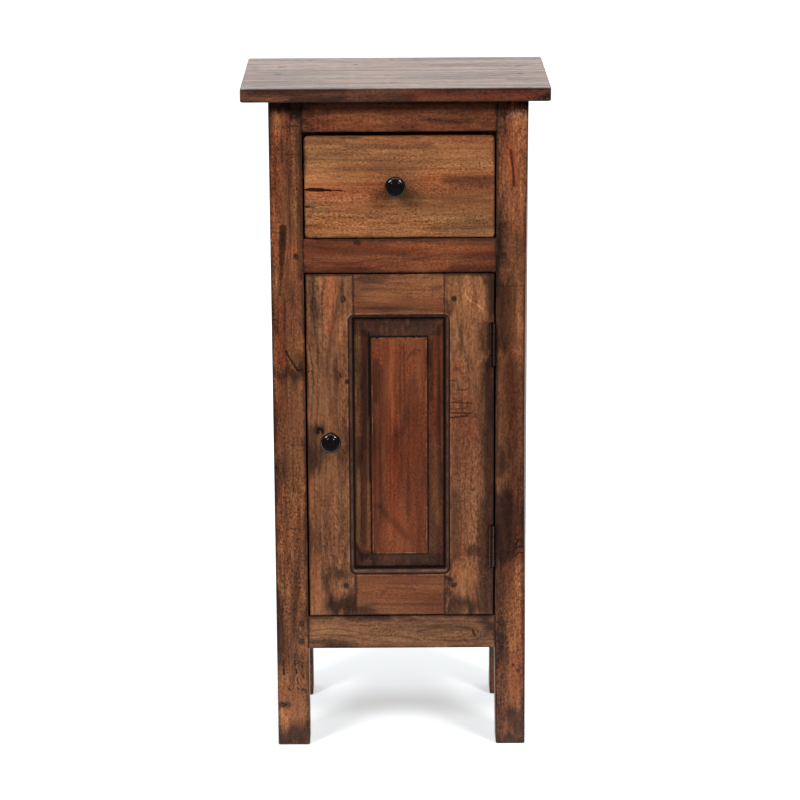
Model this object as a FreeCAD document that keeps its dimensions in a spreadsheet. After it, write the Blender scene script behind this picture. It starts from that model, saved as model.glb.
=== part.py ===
import FreeCAD, Part
import Sketcher
import os
import re

# Small storage side table: a post-and-rail carcass with one drawer over a framed door.
# Millimetres. +Z is up, the front faces -Y, and the origin is the bottom centre of the
# whole table's box. The top is centred on X = 0.

# ---------------------------------------------------------------- driving dimensions
SIZES = {
    # top, seen from above
    "top_thickness": 16,
    "top_left_overhang": 31,
    "top_right_overhang": 23,
    "top_front_overhang": 20,
    "top_back_overhang": 5,
    "top_front_board": 66,
    "top_middle_board": 66,
    "top_corner_round": 4,
    "top_edge_round": 2,
    # carcass: four posts, with the rails and openings between them from the ground up
    "carcass_width": 298,
    "carcass_depth": 205,
    "leg_width": 38,
    "underside_height": 123,
    "bottom_rail_height": 40,
    "door_opening_height": 419,
    "middle_rail_height": 40,
    "drawer_opening_height": 124.5,
    "top_rail_height": 37.5,
    "front_rail_thickness": 30,
    "side_rail_thickness": 24,
    "side_rail_inset": 2,
    "back_rail_thickness": 20,
    "back_rail_inset": 2,
    "arris": 1.5,
    # joints of the carcass
    "tenon_thickness": 10,
    "front_tenon_length": 18,
    "side_tenon_length": 14,
    "tenon_shoulder": 5,
    "mortise_slack": 1,
    "panel_thickness": 8,
    "groove_depth": 8,
    "groove_play": 0.1,
    "panel_slack": 1.5,
    "board_lap": 6,
    # pegs, nails and screws
    "peg_diameter": 5,
    "peg_length": 26,
    "peg_inset": 8.5,
    "peg_spread": 23,
    "nail_diameter": 2.4,
    "nail_head_diameter": 5,
    "nail_head_thickness": 1.2,
    "top_nail_length": 40,
    "strip_nail_length": 30,
    "drawer_nail_length": 25,
    "wood_screw_diameter": 2.6,
    "wood_screw_head_diameter": 4.6,
    "wood_screw_length": 14,
    "fastener_fit": 0.05,
    "end_nail_inset": 9,
    "end_nail_front": 83,
    "end_nail_spacing": 53,
    "middle_nail_shift": 8,
    "front_nail_setback": 19.5,
    # boards and strips inside
    "floor_thickness": 10,
    "floor_bearing": 5,
    "shelf_thickness": 10,
    "shelf_level": 200,
    "board_slack": 1,
    "strip_width": 16,
    "strip_height": 18,
    # door
    "door_gap": 2,
    "door_thickness": 20,
    "lock_stile_width": 54.5,
    "hinge_stile_width": 57.5,
    "door_top_rail": 53.5,
    "door_bottom_rail": 57,
    "door_tenon_length": 34,
    "door_haunch": 12,
    "door_groove_setback": 8,
    "door_groove_width": 6,
    "door_groove_depth": 8,
    "door_peg_inset": 11,
    "door_peg_length": 16,
    "door_peg_from_top": 29,
    "door_peg_from_bottom": 37,
    "sticking_width": 6,
    "sticking_quirk": 1.2,
    "sticking_radius": 5.5,
    "door_panel_slack": 1.5,
    "panel_tongue": 8.5,
    "panel_border": 27.3,
    "field_depth": 2,
    "field_step": 2,
    # drawer
    "drawer_gap": 2,
    "drawer_gap_below": 1,
    "drawer_gap_above": 5.5,
    "drawer_running_gap": 0.3,
    "drawer_front_thickness": 18,
    "drawer_edge_round": 2.5,
    "drawer_corner_round": 4.5,
    "drawer_back_gap": 5,
    "drawer_side_thickness": 10,
    "drawer_side_height": 110,
    "drawer_side_set_in": 1,
    "drawer_rebate": 10,
    "drawer_back_thickness": 10,
    "drawer_back_setback": 4,
    "drawer_back_drop": 8,
    "drawer_bottom_thickness": 5,
    "drawer_bottom_level": 10,
    "drawer_groove_depth": 5,
    "drawer_nail_low": 30,
    "drawer_nail_high": 88,
    "kicker_gap": 2,
    # turned knobs
    "knob_diameter": 24.5,
    "knob_projection": 26,
    "knob_foot_diameter": 15,
    "knob_foot_thickness": 2,
    "knob_neck_diameter": 11,
    "knob_neck_level": 7,
    "knob_rim_level": 20.2,
    "knob_rim_round": 5,
    "knob_flare_radius": 16,
    "knob_ring_level": 25.3,
    "knob_ring_diameter": 14.2,
    "knob_ring_depth": 0.5,
    "knob_dome_diameter": 12.8,
    "knob_bore_depth": 13,
    "knob_screw_diameter": 4,
    "knob_screw_head_diameter": 8,
    "knob_screw_head_height": 2.4,
    "knob_screw_slack": 1,
    "knob_hole_diameter": 4.5,
    "door_knob_height": 219,
    "drawer_knob_rise": 4.5,
    "drawer_knob_shift": 5,
    # butt hinges
    "hinge_length": 50,
    "hinge_barrel_diameter": 6.5,
    "hinge_leaf_depth": 16,
    "hinge_leaf_thickness": 1.2,
    "hinge_end_knuckle": 12.5,
    "hinge_knuckle_gap": 0.4,
    "hinge_clearance": 0.4,
    "hinge_pin_diameter": 3,
    "hinge_pin_fit": 0.08,
    "hinge_pin_head_diameter": 4.6,
    "hinge_pin_head_height": 0.6,
    "hinge_axis_inset": 4.5,
    "hinge_axis_proud": 2.2,
    "hinge_from_top": 58,
    "hinge_from_bottom": 61,
    "hinge_screw_spacing": 34,
    # magnetic catch
    "catch_drop": 20,
    "catch_height": 46,
    "catch_depth": 14,
    "catch_width": 13,
    "catch_plate": 3,
    "catch_block": 26,
    "catch_air_gap": 0.5,
    "magnet_height": 20,
    "magnet_width": 8,
    "magnet_depth": 10,
    "catch_screw_spacing": 36,
    "strike_width": 9,
    "strike_height": 24,
    "strike_thickness": 1.2,
}

# Levels and half-widths that follow from the driving dimensions. Depths are counted
# from the carcass's front face and widths from its middle.
FORMULAS = {
    "top_width": "carcass_width + top_left_overhang + top_right_overhang",
    "carcass_shift": "(top_left_overhang - top_right_overhang) / 2",
    "half_leg": "leg_width / 2",
    "half_clear": "carcass_width / 2 - leg_width",
    "side_clear": "carcass_depth - 2 * leg_width",
    "face_y": "(max(knob_projection; top_front_overhang) - carcass_depth - top_back_overhang) / 2",
    "floor_top": "underside_height + bottom_rail_height",
    "middle_rail_bottom": "floor_top + door_opening_height",
    "middle_rail_top": "middle_rail_bottom + middle_rail_height",
    "top_rail_bottom": "middle_rail_top + drawer_opening_height",
    "leg_height": "top_rail_bottom + top_rail_height",
    "front_tenon_set": "(front_rail_thickness - tenon_thickness) / 2",
    "back_tenon_set": "back_rail_inset + (back_rail_thickness - tenon_thickness) / 2",
    "side_rail_middle": "half_leg - side_rail_inset - side_rail_thickness / 2",
    "half_groove": "panel_thickness / 2 + groove_play",
    "grooved_shoulder": "groove_depth + mortise_slack",
    "back_rail_front": "carcass_depth - back_rail_inset - back_rail_thickness",
    "back_board_front": "back_rail_front + back_rail_thickness / 2 - panel_thickness / 2",
    "peg_hole": "peg_diameter / 2 + fastener_fit",
    "nail_hole": "nail_diameter / 2 + fastener_fit",
    "head_hole": "nail_head_diameter / 2 + fastener_fit",
    "side_panel_inner": "half_clear + half_leg + side_rail_middle - panel_thickness / 2",
    "floor_half_width": "half_clear + half_leg + side_rail_middle - side_rail_thickness / 2 "
                        "+ floor_bearing",
    "strip_length": "back_rail_front - front_rail_thickness",
    "strip_nail_front": "(leg_width - front_rail_thickness) / 2",
    "strip_nail_back": "strip_length - (back_rail_front - carcass_depth + leg_width) / 2",
    "runner_bottom": "middle_rail_top - strip_height",
    "kicker_bottom": "middle_rail_top + drawer_running_gap + drawer_side_height + kicker_gap",
    "shelf_bottom": "floor_top + shelf_level",
    "cleat_bottom": "shelf_bottom - strip_height",
    "door_half": "half_clear - door_gap",
    "door_height": "door_opening_height - 2 * door_gap",
    "panel_half": "door_half - (lock_stile_width + hinge_stile_width) / 2",
    "panel_middle": "(lock_stile_width - hinge_stile_width) / 2",
    "panel_top": "door_height - door_top_rail",
    "screw_hole": "wood_screw_diameter / 2 + fastener_fit",
    "screw_head_depth": "(wood_screw_head_diameter - wood_screw_diameter) / 2",
    "hinge_radius": "hinge_barrel_diameter / 2",
    "hinge_notch": "hinge_radius + hinge_clearance",
    "hinge_end_room": "hinge_pin_head_height + hinge_clearance",
    "hinge_axis_x": "half_clear - hinge_axis_inset",
    "hinge_edge": "hinge_axis_inset - door_gap",
    "hinge_reach": "hinge_axis_proud + hinge_leaf_depth",
    "hinge_screw_line": "hinge_leaf_depth / 2",
    "upper_hinge": "door_height - hinge_from_top - hinge_length",
    "lower_hinge": "hinge_from_bottom",
    "end_knuckle_top": "hinge_length - hinge_end_knuckle",
    "drawer_length": "back_rail_front - drawer_back_gap",
    "drawer_half": "half_clear - drawer_gap",
    "drawer_outer": "drawer_half - drawer_side_set_in",
    "drawer_inner": "drawer_outer - drawer_side_thickness",
    "drawer_front_height": "drawer_opening_height - drawer_gap_below - drawer_gap_above",
    "drawer_side_start": "drawer_front_thickness - drawer_rebate",
    "drawer_back_end": "drawer_length - drawer_back_setback",
    "drawer_bottom_top": "drawer_bottom_level + drawer_bottom_thickness",
    "drawer_nail_front": "drawer_front_thickness - drawer_rebate / 2",
    "drawer_nail_back": "drawer_back_end - drawer_back_thickness / 2",
    "knob_x": "door_half - lock_stile_width / 2",
    "knob_dome_height": "knob_projection - knob_ring_level",
    "knob_dome_radius": "(knob_dome_diameter ^ 2 / 4 + knob_dome_height ^ 2) / (2 * knob_dome_height)",
    "knob_bore": "knob_screw_diameter / 2 + fastener_fit",
    "catch_front": "door_thickness + strike_thickness + catch_air_gap",
    "catch_bottom": "middle_rail_bottom - catch_drop - catch_height",
    "magnet_left": "(catch_plate + catch_width - magnet_width) / 2",
    "magnet_middle": "magnet_left + magnet_width / 2",
    "strike_x": "half_clear - magnet_middle",
    "strike_bottom": "catch_bottom + (catch_height - strike_height) / 2 - floor_top - door_gap",
}

# Pairs of opposites: the right and left sides, and the front and back.
SIDES = {"right": 1, "left": -1}
ENDS = {"front": 1, "back": -1}

# The plane square to each axis, and whether that plane's normal runs along the axis.
PLANES = {"X": ("YZ_Plane", True), "Y": ("XZ_Plane", False), "Z": ("XY_Plane", True)}

# A cut starts this far outside the surface that it breaks.
CUT_MARGIN = 1

doc = FreeCAD.newDocument("storage_side_table")
sheet = doc.addObject("Spreadsheet::Sheet", "Sizes")
for row, (alias, number) in enumerate(SIZES.items(), start=1):
    sheet.set(f"A{row}", alias.replace("_", " "))
    sheet.set(f"B{row}", str(number))
    sheet.setAlias(f"B{row}", alias)
doc.recompute()
pieces = []


# ---------------------------------------------------------------- expressions
def formula(text):
    """A FreeCAD expression on the sheet, from a formula in the words used above."""
    def swap(match):
        word = match.group(0)
        if word in SIZES:
            return f"Sizes.{word}"
        if word in FORMULAS:
            return f"({formula(FORMULAS[word])})"
        return word
    return re.sub(r"[a-z_]+", swap, str(text))


def value(text):
    """The number that a formula has now."""
    return float(sheet.evalExpression(formula(text)))


def span(side, low, high):
    """A stretch from low to high away from the middle, on the positive or negative side."""
    return (low, high) if side > 0 else (f"-({high})", f"-({low})")


# ---------------------------------------------------------------- sketches and features
def place(item, x, y, z):
    """Bind a sub-part's place to the sheet."""
    for axis, text in zip("xyz", (x, y, z)):
        item.setExpression(f"Placement.Base.{axis}", formula(text))


def new_body(label, x, y, z):
    """An empty body for one sub-part: x from the carcass's middle, y from its face, z from the ground."""
    body = doc.addObject("PartDesign::Body", label)
    body.Label = label
    place(body, f"carcass_shift + {x}", f"face_y + {y}", z)
    pieces.append(body)
    return body


def new_sketch(body, axis, level):
    """A sketch square to an axis, at a level along it."""
    role, same_way = PLANES[axis]
    plane = next(item for item in body.Origin.OriginFeatures if item.Role == role)
    sketch = body.newObject("Sketcher::SketchObject", f"{body.Name}_sketch")
    sketch.AttachmentSupport = [(plane, "")]
    sketch.MapMode = "FlatFace"
    sketch.setExpression("AttachmentOffset.Base.z", formula(level if same_way else f"-({level})"))
    sketch.Visibility = False
    return sketch


def dimension(sketch, kind, geometry, end, text):
    """One driving dimension from the sketch's origin to a point."""
    number = sketch.addConstraint(Sketcher.Constraint(kind, -1, 1, geometry, end, value(text)))
    sketch.setExpression(f"Constraints[{number}]", formula(text))


def box(u_low, v_low, u_high, v_high):
    """The four corners of a rectangle."""
    return [(u_low, v_low), (u_high, v_low), (u_high, v_high), (u_low, v_high)]


def circle(u, v, radius):
    """A circle as a one-step outline."""
    return [("circle", u, v, radius)]


def draw_circle(sketch, u, v, radius):
    centre = FreeCAD.Vector(value(u), value(v), 0)
    number = sketch.addGeometry(Part.Circle(centre, FreeCAD.Vector(0, 0, 1), value(radius)))
    dimension(sketch, "DistanceX", number, 3, u)
    dimension(sketch, "DistanceY", number, 3, v)
    size = sketch.addConstraint(Sketcher.Constraint("Radius", number, value(radius)))
    sketch.setExpression(f"Constraints[{size}]", formula(radius))


def arc_between(start, end, radius, side):
    """The shorter arc of a radius between two points, its centre to the left when side is 1."""
    chord = end - start
    left = FreeCAD.Vector(-chord.y, chord.x, 0).normalize() * side
    rise = max(radius ** 2 - (chord.Length / 2) ** 2, 0) ** 0.5
    centre = start + chord * 0.5 + left * rise
    middle = centre - left * radius
    return Part.Arc(start, middle, end)


def draw(sketch, steps):
    """A closed outline. Each step is a point (u, v), and (u, v, radius, side) reaches it by an arc."""
    if steps[0][0] == "circle":
        draw_circle(sketch, *steps[0][1:])
        return
    spots = [FreeCAD.Vector(value(step[0]), value(step[1]), 0) for step in steps]
    count = len(steps)
    segments = []
    for index in range(count):
        target = (index + 1) % count
        start, end, step = spots[index], spots[target], steps[target]
        if len(step) == 2:
            number = sketch.addGeometry(Part.LineSegment(start, end))
            segments.append((number, 1, 2))
            continue
        number = sketch.addGeometry(arc_between(start, end, value(step[2]), step[3]))
        turns_left = step[3] > 0
        segments.append((number, 1, 2) if turns_left else (number, 2, 1))
    for index in range(count):
        number, _, end = segments[index]
        follower, begin, _ = segments[(index + 1) % count]
        sketch.addConstraint(Sketcher.Constraint("Coincident", number, end, follower, begin))
    for index, step in enumerate(steps):
        number, begin, _ = segments[index]
        arriving = segments[index - 1][0]
        back = steps[index - 1]
        straight = len(step) == 2
        if not straight:
            size = sketch.addConstraint(Sketcher.Constraint("Radius", arriving, value(step[2])))
            sketch.setExpression(f"Constraints[{size}]", formula(step[2]))
        level = straight and index > 0 and step[1] == back[1]
        upright = straight and index > 0 and step[0] == back[0]
        closing = index == count - 1 and len(steps[0]) == 2
        closing_level = closing and step[1] == steps[0][1]
        closing_upright = closing and step[0] == steps[0][0]
        if level:
            sketch.addConstraint(Sketcher.Constraint("Horizontal", arriving))
        elif closing_level:
            sketch.addConstraint(Sketcher.Constraint("Horizontal", number))
        else:
            dimension(sketch, "DistanceY", number, begin, step[1])
        if upright:
            sketch.addConstraint(Sketcher.Constraint("Vertical", arriving))
        elif closing_upright:
            sketch.addConstraint(Sketcher.Constraint("Vertical", number))
        else:
            dimension(sketch, "DistanceX", number, begin, step[0])


def sweep(kind, body, axis, start, stop, outlines):
    """A pad or pocket of some outlines between two levels along an axis."""
    sketch = new_sketch(body, axis, start)
    for steps in outlines:
        draw(sketch, steps)
    feature = body.newObject(f"PartDesign::{kind}", f"{body.Name}_{kind.lower()}")
    feature.Profile = sketch
    feature.setExpression("Length", formula(f"({stop}) - ({start})"))
    same_way = PLANES[axis][1]
    feature.Reversed = same_way if kind == "Pocket" else not same_way
    body.Tip = feature
    return feature


def pad(body, axis, start, stop, *outlines):
    return sweep("Pad", body, axis, start, stop, outlines)


def pocket(body, axis, start, stop, *outlines):
    return sweep("Pocket", body, axis, start, stop, outlines)


def turn(kind, body, steps, level="0", angle=360, backwards=False):
    """A revolution or groove about the Y axis of a sketch drawn in X and Y."""
    sketch = new_sketch(body, "Z", level)
    draw(sketch, steps)
    feature = body.newObject(f"PartDesign::{kind}", f"{body.Name}_{kind.lower()}")
    feature.Profile = sketch
    feature.ReferenceAxis = (sketch, ["V_Axis"])
    feature.Angle = angle
    feature.Reversed = backwards
    body.Tip = feature
    return feature


def dress(kind, body, size, keep):
    """A fillet or chamfer on the edges of a body that a test keeps."""
    doc.recompute()
    base = body.Tip
    names = [f"Edge{number}" for number, edge in enumerate(base.Shape.Edges, start=1) if keep(edge)]
    feature = body.newObject(f"PartDesign::{kind}", f"{body.Name}_{kind.lower()}")
    feature.Base = (base, names)
    feature.setExpression("Radius" if kind == "Fillet" else "Size", formula(size))
    body.Tip = feature
    return feature


def runs_along(edge, axis):
    """True for a straight edge parallel to an axis."""
    start, end = edge.Vertexes[0].Point, edge.Vertexes[-1].Point
    reach = {"X": abs(end.x - start.x), "Y": abs(end.y - start.y), "Z": abs(end.z - start.z)}
    return edge.Length > 0 and abs(reach[axis] - edge.Length) < 1e-6


def is_at(edge, axis, text):
    """True for an edge whose middle is at a level along an axis."""
    middle = edge.CenterOfMass
    return abs({"X": middle.x, "Y": middle.y, "Z": middle.z}[axis] - value(text)) < 1e-4


# ---------------------------------------------------------------- fasteners as groups
X_AXIS = FreeCAD.Vector(1, 0, 0)
Y_AXIS = FreeCAD.Vector(0, 1, 0)
TURNS = {
    "Z": FreeCAD.Rotation(), "-Z": FreeCAD.Rotation(X_AXIS, 180),
    "Y": FreeCAD.Rotation(X_AXIS, -90), "-Y": FreeCAD.Rotation(X_AXIS, 90),
    "X": FreeCAD.Rotation(Y_AXIS, 90), "-X": FreeCAD.Rotation(Y_AXIS, -90),
}


def rod(axis, x, y, z, radius, length, tip_radius=None):
    """A round rod, or a cone with a tip radius, that starts at a point and runs along an axis."""
    name = "rod" if tip_radius is None else "cone"
    kind = "Part::Cylinder" if tip_radius is None else "Part::Cone"
    item = doc.addObject(kind, name)
    item.Placement = FreeCAD.Placement(FreeCAD.Vector(), TURNS[axis])
    if tip_radius is None:
        item.setExpression("Radius", formula(radius))
    else:
        item.setExpression("Radius1", formula(radius))
        item.setExpression("Radius2", formula(tip_radius))
    item.setExpression("Height", formula(length))
    place(item, f"carcass_shift + {x}", f"face_y + {y}", z)
    return item


def along(axis, x, y, z, distance):
    """The point at a distance from another one along an axis."""
    sign = "-" if axis.startswith("-") else "+"
    spot = {"X": x, "Y": y, "Z": z}
    spot[axis[-1]] = f"{spot[axis[-1]]} {sign} ({distance})"
    return spot["X"], spot["Y"], spot["Z"]


def joined(parts):
    """Some solids made one, as a head and its shank are."""
    item = doc.addObject("Part::MultiFuse", "joined")
    item.Shapes = parts
    return item


def group(label, members):
    """Identical fasteners in one node."""
    item = doc.addObject("Part::Compound", label)
    item.Label = label
    item.Links = members
    pieces.append(item)
    return item


def nail(axis, x, y, z, length):
    """A round-headed nail that starts at its head's outer face."""
    head = rod(axis, x, y, z, "nail_head_diameter / 2", "nail_head_thickness")
    neck = along(axis, x, y, z, "nail_head_thickness")
    shank = rod(axis, *neck, "nail_diameter / 2", f"{length} - nail_head_thickness")
    return joined([head, shank])


def wood_screw(axis, x, y, z):
    """A countersunk screw that starts at its head's outer face."""
    head = rod(axis, x, y, z, "wood_screw_head_diameter / 2", "screw_head_depth", "wood_screw_diameter / 2")
    neck = along(axis, x, y, z, "screw_head_depth")
    shank = rod(axis, *neck, "wood_screw_diameter / 2", "wood_screw_length - screw_head_depth")
    return joined([head, shank])


# ---------------------------------------------------------------- carcass: legs
STRIP_LEVELS = ["runner_bottom", "kicker_bottom", "cleat_bottom"]
STRIP_NAIL_SPOTS = ["strip_nail_front", "strip_nail_back"]
HINGE_LEVELS = ["upper_hinge", "lower_hinge"]
HINGE_SCREWS = ["(hinge_length - hinge_screw_spacing) / 2", "(hinge_length + hinge_screw_spacing) / 2"]
CATCH_SCREWS = ["(catch_height - catch_screw_spacing) / 2", "(catch_height + catch_screw_spacing) / 2"]
PEG_LEVELS = ["underside_height + (bottom_rail_height - peg_spread) / 2",
              "underside_height + (bottom_rail_height + peg_spread) / 2",
              "(middle_rail_bottom + middle_rail_top) / 2",
              "(top_rail_bottom + leg_height) / 2"]
RAIL_LEVELS = {"bottom": ("underside_height", "bottom_rail_height"),
               "middle": ("middle_rail_bottom", "middle_rail_height"),
               "top": ("top_rail_bottom", "top_rail_height")}


def make_leg(side_name, end_name):
    """A square post, drawn about its own middle."""
    side, end = SIDES[side_name], ENDS[end_name]
    y = "half_leg" if end > 0 else "carcass_depth - half_leg"
    leg = new_body(f"leg_{end_name}_{side_name}", f"{side} * (half_clear + half_leg)", y, "0")
    pad(leg, "Z", "0", "leg_height", box("-half_leg", "-half_leg", "half_leg", "half_leg"))
    dress("Fillet", leg, "arris", lambda edge: runs_along(edge, "Z"))
    dress("Chamfer", leg, "arris", lambda edge: is_at(edge, "Z", "0"))
    tenon_set = "front_tenon_set" if end > 0 else "back_tenon_set"
    shoulder = "tenon_shoulder" if end > 0 else "grooved_shoulder"
    names = ["bottom", "middle", "top"] if end > 0 else ["bottom", "top"]
    tenon_y = span(end, f"-half_leg + {tenon_set}", f"-half_leg + {tenon_set} + tenon_thickness")
    mortises = [box(tenon_y[0], f"{RAIL_LEVELS[name][0]} + {shoulder}",
                    tenon_y[1], f"{RAIL_LEVELS[name][0]} + {RAIL_LEVELS[name][1]} - {shoulder}")
                for name in names]
    reach = span(side, "-half_leg", "-half_leg + front_tenon_length + mortise_slack")
    pocket(leg, "X", *reach, *mortises)
    tenon_x = span(side, "side_rail_middle - tenon_thickness / 2", "side_rail_middle + tenon_thickness / 2")
    side_mortises = [box(tenon_x[0], f"{RAIL_LEVELS[name][0]} + grooved_shoulder",
                         tenon_x[1], f"{RAIL_LEVELS[name][0]} + {RAIL_LEVELS[name][1]} - grooved_shoulder")
                     for name in ("bottom", "top")]
    pocket(leg, "Y", *span(end, "half_leg - side_tenon_length - mortise_slack", "half_leg"), *side_mortises)
    panel_x = span(side, "side_rail_middle - half_groove", "side_rail_middle + half_groove")
    panel_z = ("floor_top - groove_depth", "top_rail_bottom + groove_depth")
    pocket(leg, "Y", *span(end, "half_leg - groove_depth", "half_leg"),
           box(panel_x[0], panel_z[0], panel_x[1], panel_z[1]))
    if end < 0:
        middle = "half_leg - back_rail_inset - back_rail_thickness / 2"
        pocket(leg, "X", *span(side, "-half_leg", "-half_leg + groove_depth"),
               box(f"{middle} - half_groove", panel_z[0], f"{middle} + half_groove", panel_z[1]))
    else:
        pegs = [circle(f"{side} * (peg_inset - half_leg)", level, "peg_hole") for level in PEG_LEVELS]
        pocket(leg, "Y", "-half_leg", "-half_leg + peg_length", *pegs)
    nail_spot = "strip_nail_front" if end > 0 else "strip_nail_back"
    nails = [circle(f"front_rail_thickness + {nail_spot} - ({y})", f"{level} + strip_height / 2", "nail_hole")
             for level in STRIP_LEVELS]
    pocket(leg, "X", *span(side, "-half_leg", "-half_leg + strip_nail_length - strip_width"), *nails)
    if end > 0:
        if side > 0:
            screws = [circle("hinge_screw_line - half_leg", f"floor_top + door_gap + {level} + {offset}",
                             "screw_hole") for level in HINGE_LEVELS for offset in HINGE_SCREWS]
            depth = "wood_screw_length - hinge_leaf_thickness"
        else:
            screws = [circle("catch_front + catch_depth / 2 - half_leg", f"catch_bottom + {offset}",
                             "screw_hole") for offset in CATCH_SCREWS]
            depth = "wood_screw_length - catch_plate"
        pocket(leg, "X", *span(side, "-half_leg", f"-half_leg + {depth}"), *screws)


# ---------------------------------------------------------------- carcass: rails
def groove_span(level_name, height):
    """The heights of a panel's groove in the upper edge of a bottom rail or the lower edge of a top rail."""
    return (f"{height} - groove_depth", height) if level_name == "bottom" else ("0", "groove_depth")


def make_cross_rail(end_name, level_name):
    """A rail between the two front or the two back legs, tenoned into them."""
    level, height = RAIL_LEVELS[level_name]
    front = end_name == "front"
    thickness = "front_rail_thickness" if front else "back_rail_thickness"
    y = "0" if front else "back_rail_front"
    shoulder = "tenon_shoulder" if front else "grooved_shoulder"
    tenon = f"({thickness} - tenon_thickness) / 2"
    rail = new_body(f"{end_name}_rail_{level_name}", "0", y, level)
    pad(rail, "X", "-half_clear", "half_clear", box("0", "0", thickness, height))
    outer = "0" if front else thickness
    dress("Fillet", rail, "arris", lambda edge: runs_along(edge, "X") and is_at(edge, "Y", outer))
    pad(rail, "X", "-half_clear - front_tenon_length", "half_clear + front_tenon_length",
        box(tenon, shoulder, f"{tenon} + tenon_thickness", f"{height} - {shoulder}"))
    if not front:
        groove = (f"{thickness} / 2 - half_groove", f"{thickness} / 2 + half_groove")
        low, high = groove_span(level_name, height)
        pocket(rail, "X", "-half_clear", "half_clear", box(groove[0], low, groove[1], high))
    if front:
        spots = [f"{height} / 2"] if level_name != "bottom" else [f"({height} - peg_spread) / 2",
                                                                  f"({height} + peg_spread) / 2"]
        pegs = [circle(f"{side} * (half_clear + peg_inset)", spot, "peg_hole")
                for side in (1, -1) for spot in spots]
        pocket(rail, "Y", tenon, f"{tenon} + tenon_thickness", *pegs)
    if level_name == "top":
        nail_y = "front_nail_setback" if front else "back_rail_thickness / 2"
        pocket(rail, "Z", f"{height} + top_thickness - top_nail_length", height,
               circle("-middle_nail_shift", nail_y, "nail_hole"))


def make_side_rail(level_name, side_name):
    """A rail between a front and a back leg, grooved for the side panel."""
    side = SIDES[side_name]
    level, height = RAIL_LEVELS[level_name]
    half = "side_rail_thickness / 2"
    rail = new_body(f"side_rail_{level_name}_{side_name}",
                    f"{side} * (half_clear + half_leg + side_rail_middle)", "leg_width", level)
    pad(rail, "Y", "0", "side_clear", box(f"-{half}", "0", half, height))
    outer = half if side > 0 else f"-{half}"
    dress("Fillet", rail, "arris", lambda edge: runs_along(edge, "Y") and is_at(edge, "X", outer))
    pad(rail, "Y", "-side_tenon_length", "side_clear + side_tenon_length",
        box("-tenon_thickness / 2", "grooved_shoulder",
            "tenon_thickness / 2", f"{height} - grooved_shoulder"))
    low, high = groove_span(level_name, height)
    pocket(rail, "Y", "0", "side_clear", box("-half_groove", low, "half_groove", high))
    if level_name == "bottom":
        ledge = span(side, f"-{half}", f"-{half} + floor_bearing")
        pocket(rail, "Y", "0", "side_clear", box(ledge[0], f"{height} - floor_thickness", ledge[1], height))
    else:
        nail_x = f"{side} * (half_leg - end_nail_inset - side_rail_middle)"
        nails = [circle(nail_x, f"{spot} - leg_width", "nail_hole")
                 for spot in ("end_nail_front", "end_nail_front + end_nail_spacing")]
        pocket(rail, "Z", f"{height} + top_thickness - top_nail_length", height, *nails)


# ---------------------------------------------------------------- carcass: panels and boards
def make_side_panel(side_name):
    """A thin upright board held loosely in the grooves of the legs and rails."""
    side = SIDES[side_name]
    panel = new_body(f"side_panel_{side_name}", f"{side} * (half_clear + half_leg + side_rail_middle)",
                     "leg_width", "floor_top - groove_depth")
    reach = "groove_depth - panel_slack"
    pad(panel, "Z", "0", "top_rail_bottom - floor_top + 2 * groove_depth - panel_slack",
        box("-panel_thickness / 2", f"-({reach})", "panel_thickness / 2", f"side_clear + {reach}"))


def make_back_board(side_name):
    """Half of the back: two upright boards that lap at the middle."""
    side = SIDES[side_name]
    board = new_body(f"back_board_{side_name}", "0", "back_board_front", "floor_top - groove_depth")
    reach = "half_clear + groove_depth - panel_slack"
    lap = "panel_thickness / 2"
    edge_x = (f"board_lap / 2 + {side} * groove_play", f"-board_lap / 2 + {side} * groove_play")
    pad(board, "Z", "0", "top_rail_bottom - floor_top + 2 * groove_depth - panel_slack",
        [(f"{side} * ({reach})", "0"), (edge_x[0], "0"), (edge_x[0], lap), (edge_x[1], lap),
         (edge_x[1], "panel_thickness"), (f"{side} * ({reach})", "panel_thickness")])


def cross_outline(inner, outer, front, wing_front, wing_back, back):
    """A board with its corners notched round the four legs."""
    return [(f"-({inner})", front), (inner, front), (inner, wing_front), (outer, wing_front),
            (outer, wing_back), (inner, wing_back), (inner, back), (f"-({inner})", back),
            (f"-({inner})", wing_back), (f"-({outer})", wing_back), (f"-({outer})", wing_front),
            (f"-({inner})", wing_front)]


def make_cabinet_floor():
    """The cupboard's floor, let into the bottom side rails."""
    board = new_body("cabinet_floor", "0", "0", "floor_top - floor_thickness")
    pad(board, "Z", "0", "floor_thickness",
        cross_outline("half_clear - board_slack", "floor_half_width - board_slack", "front_rail_thickness",
                      "leg_width + board_slack", "carcass_depth - leg_width - board_slack",
                      "back_rail_front"))


def make_shelf():
    """The cupboard's shelf, laid on the two cleats."""
    board = new_body("shelf", "0", "0", "shelf_bottom")
    pad(board, "Z", "0", "shelf_thickness",
        cross_outline("half_clear - board_slack", "side_panel_inner - board_slack", "front_rail_thickness",
                      "leg_width + board_slack", "carcass_depth - leg_width - board_slack",
                      "back_board_front - board_slack"))
    dress("Fillet", board, "arris",
          lambda edge: runs_along(edge, "X") and is_at(edge, "Y", "front_rail_thickness"))


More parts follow.
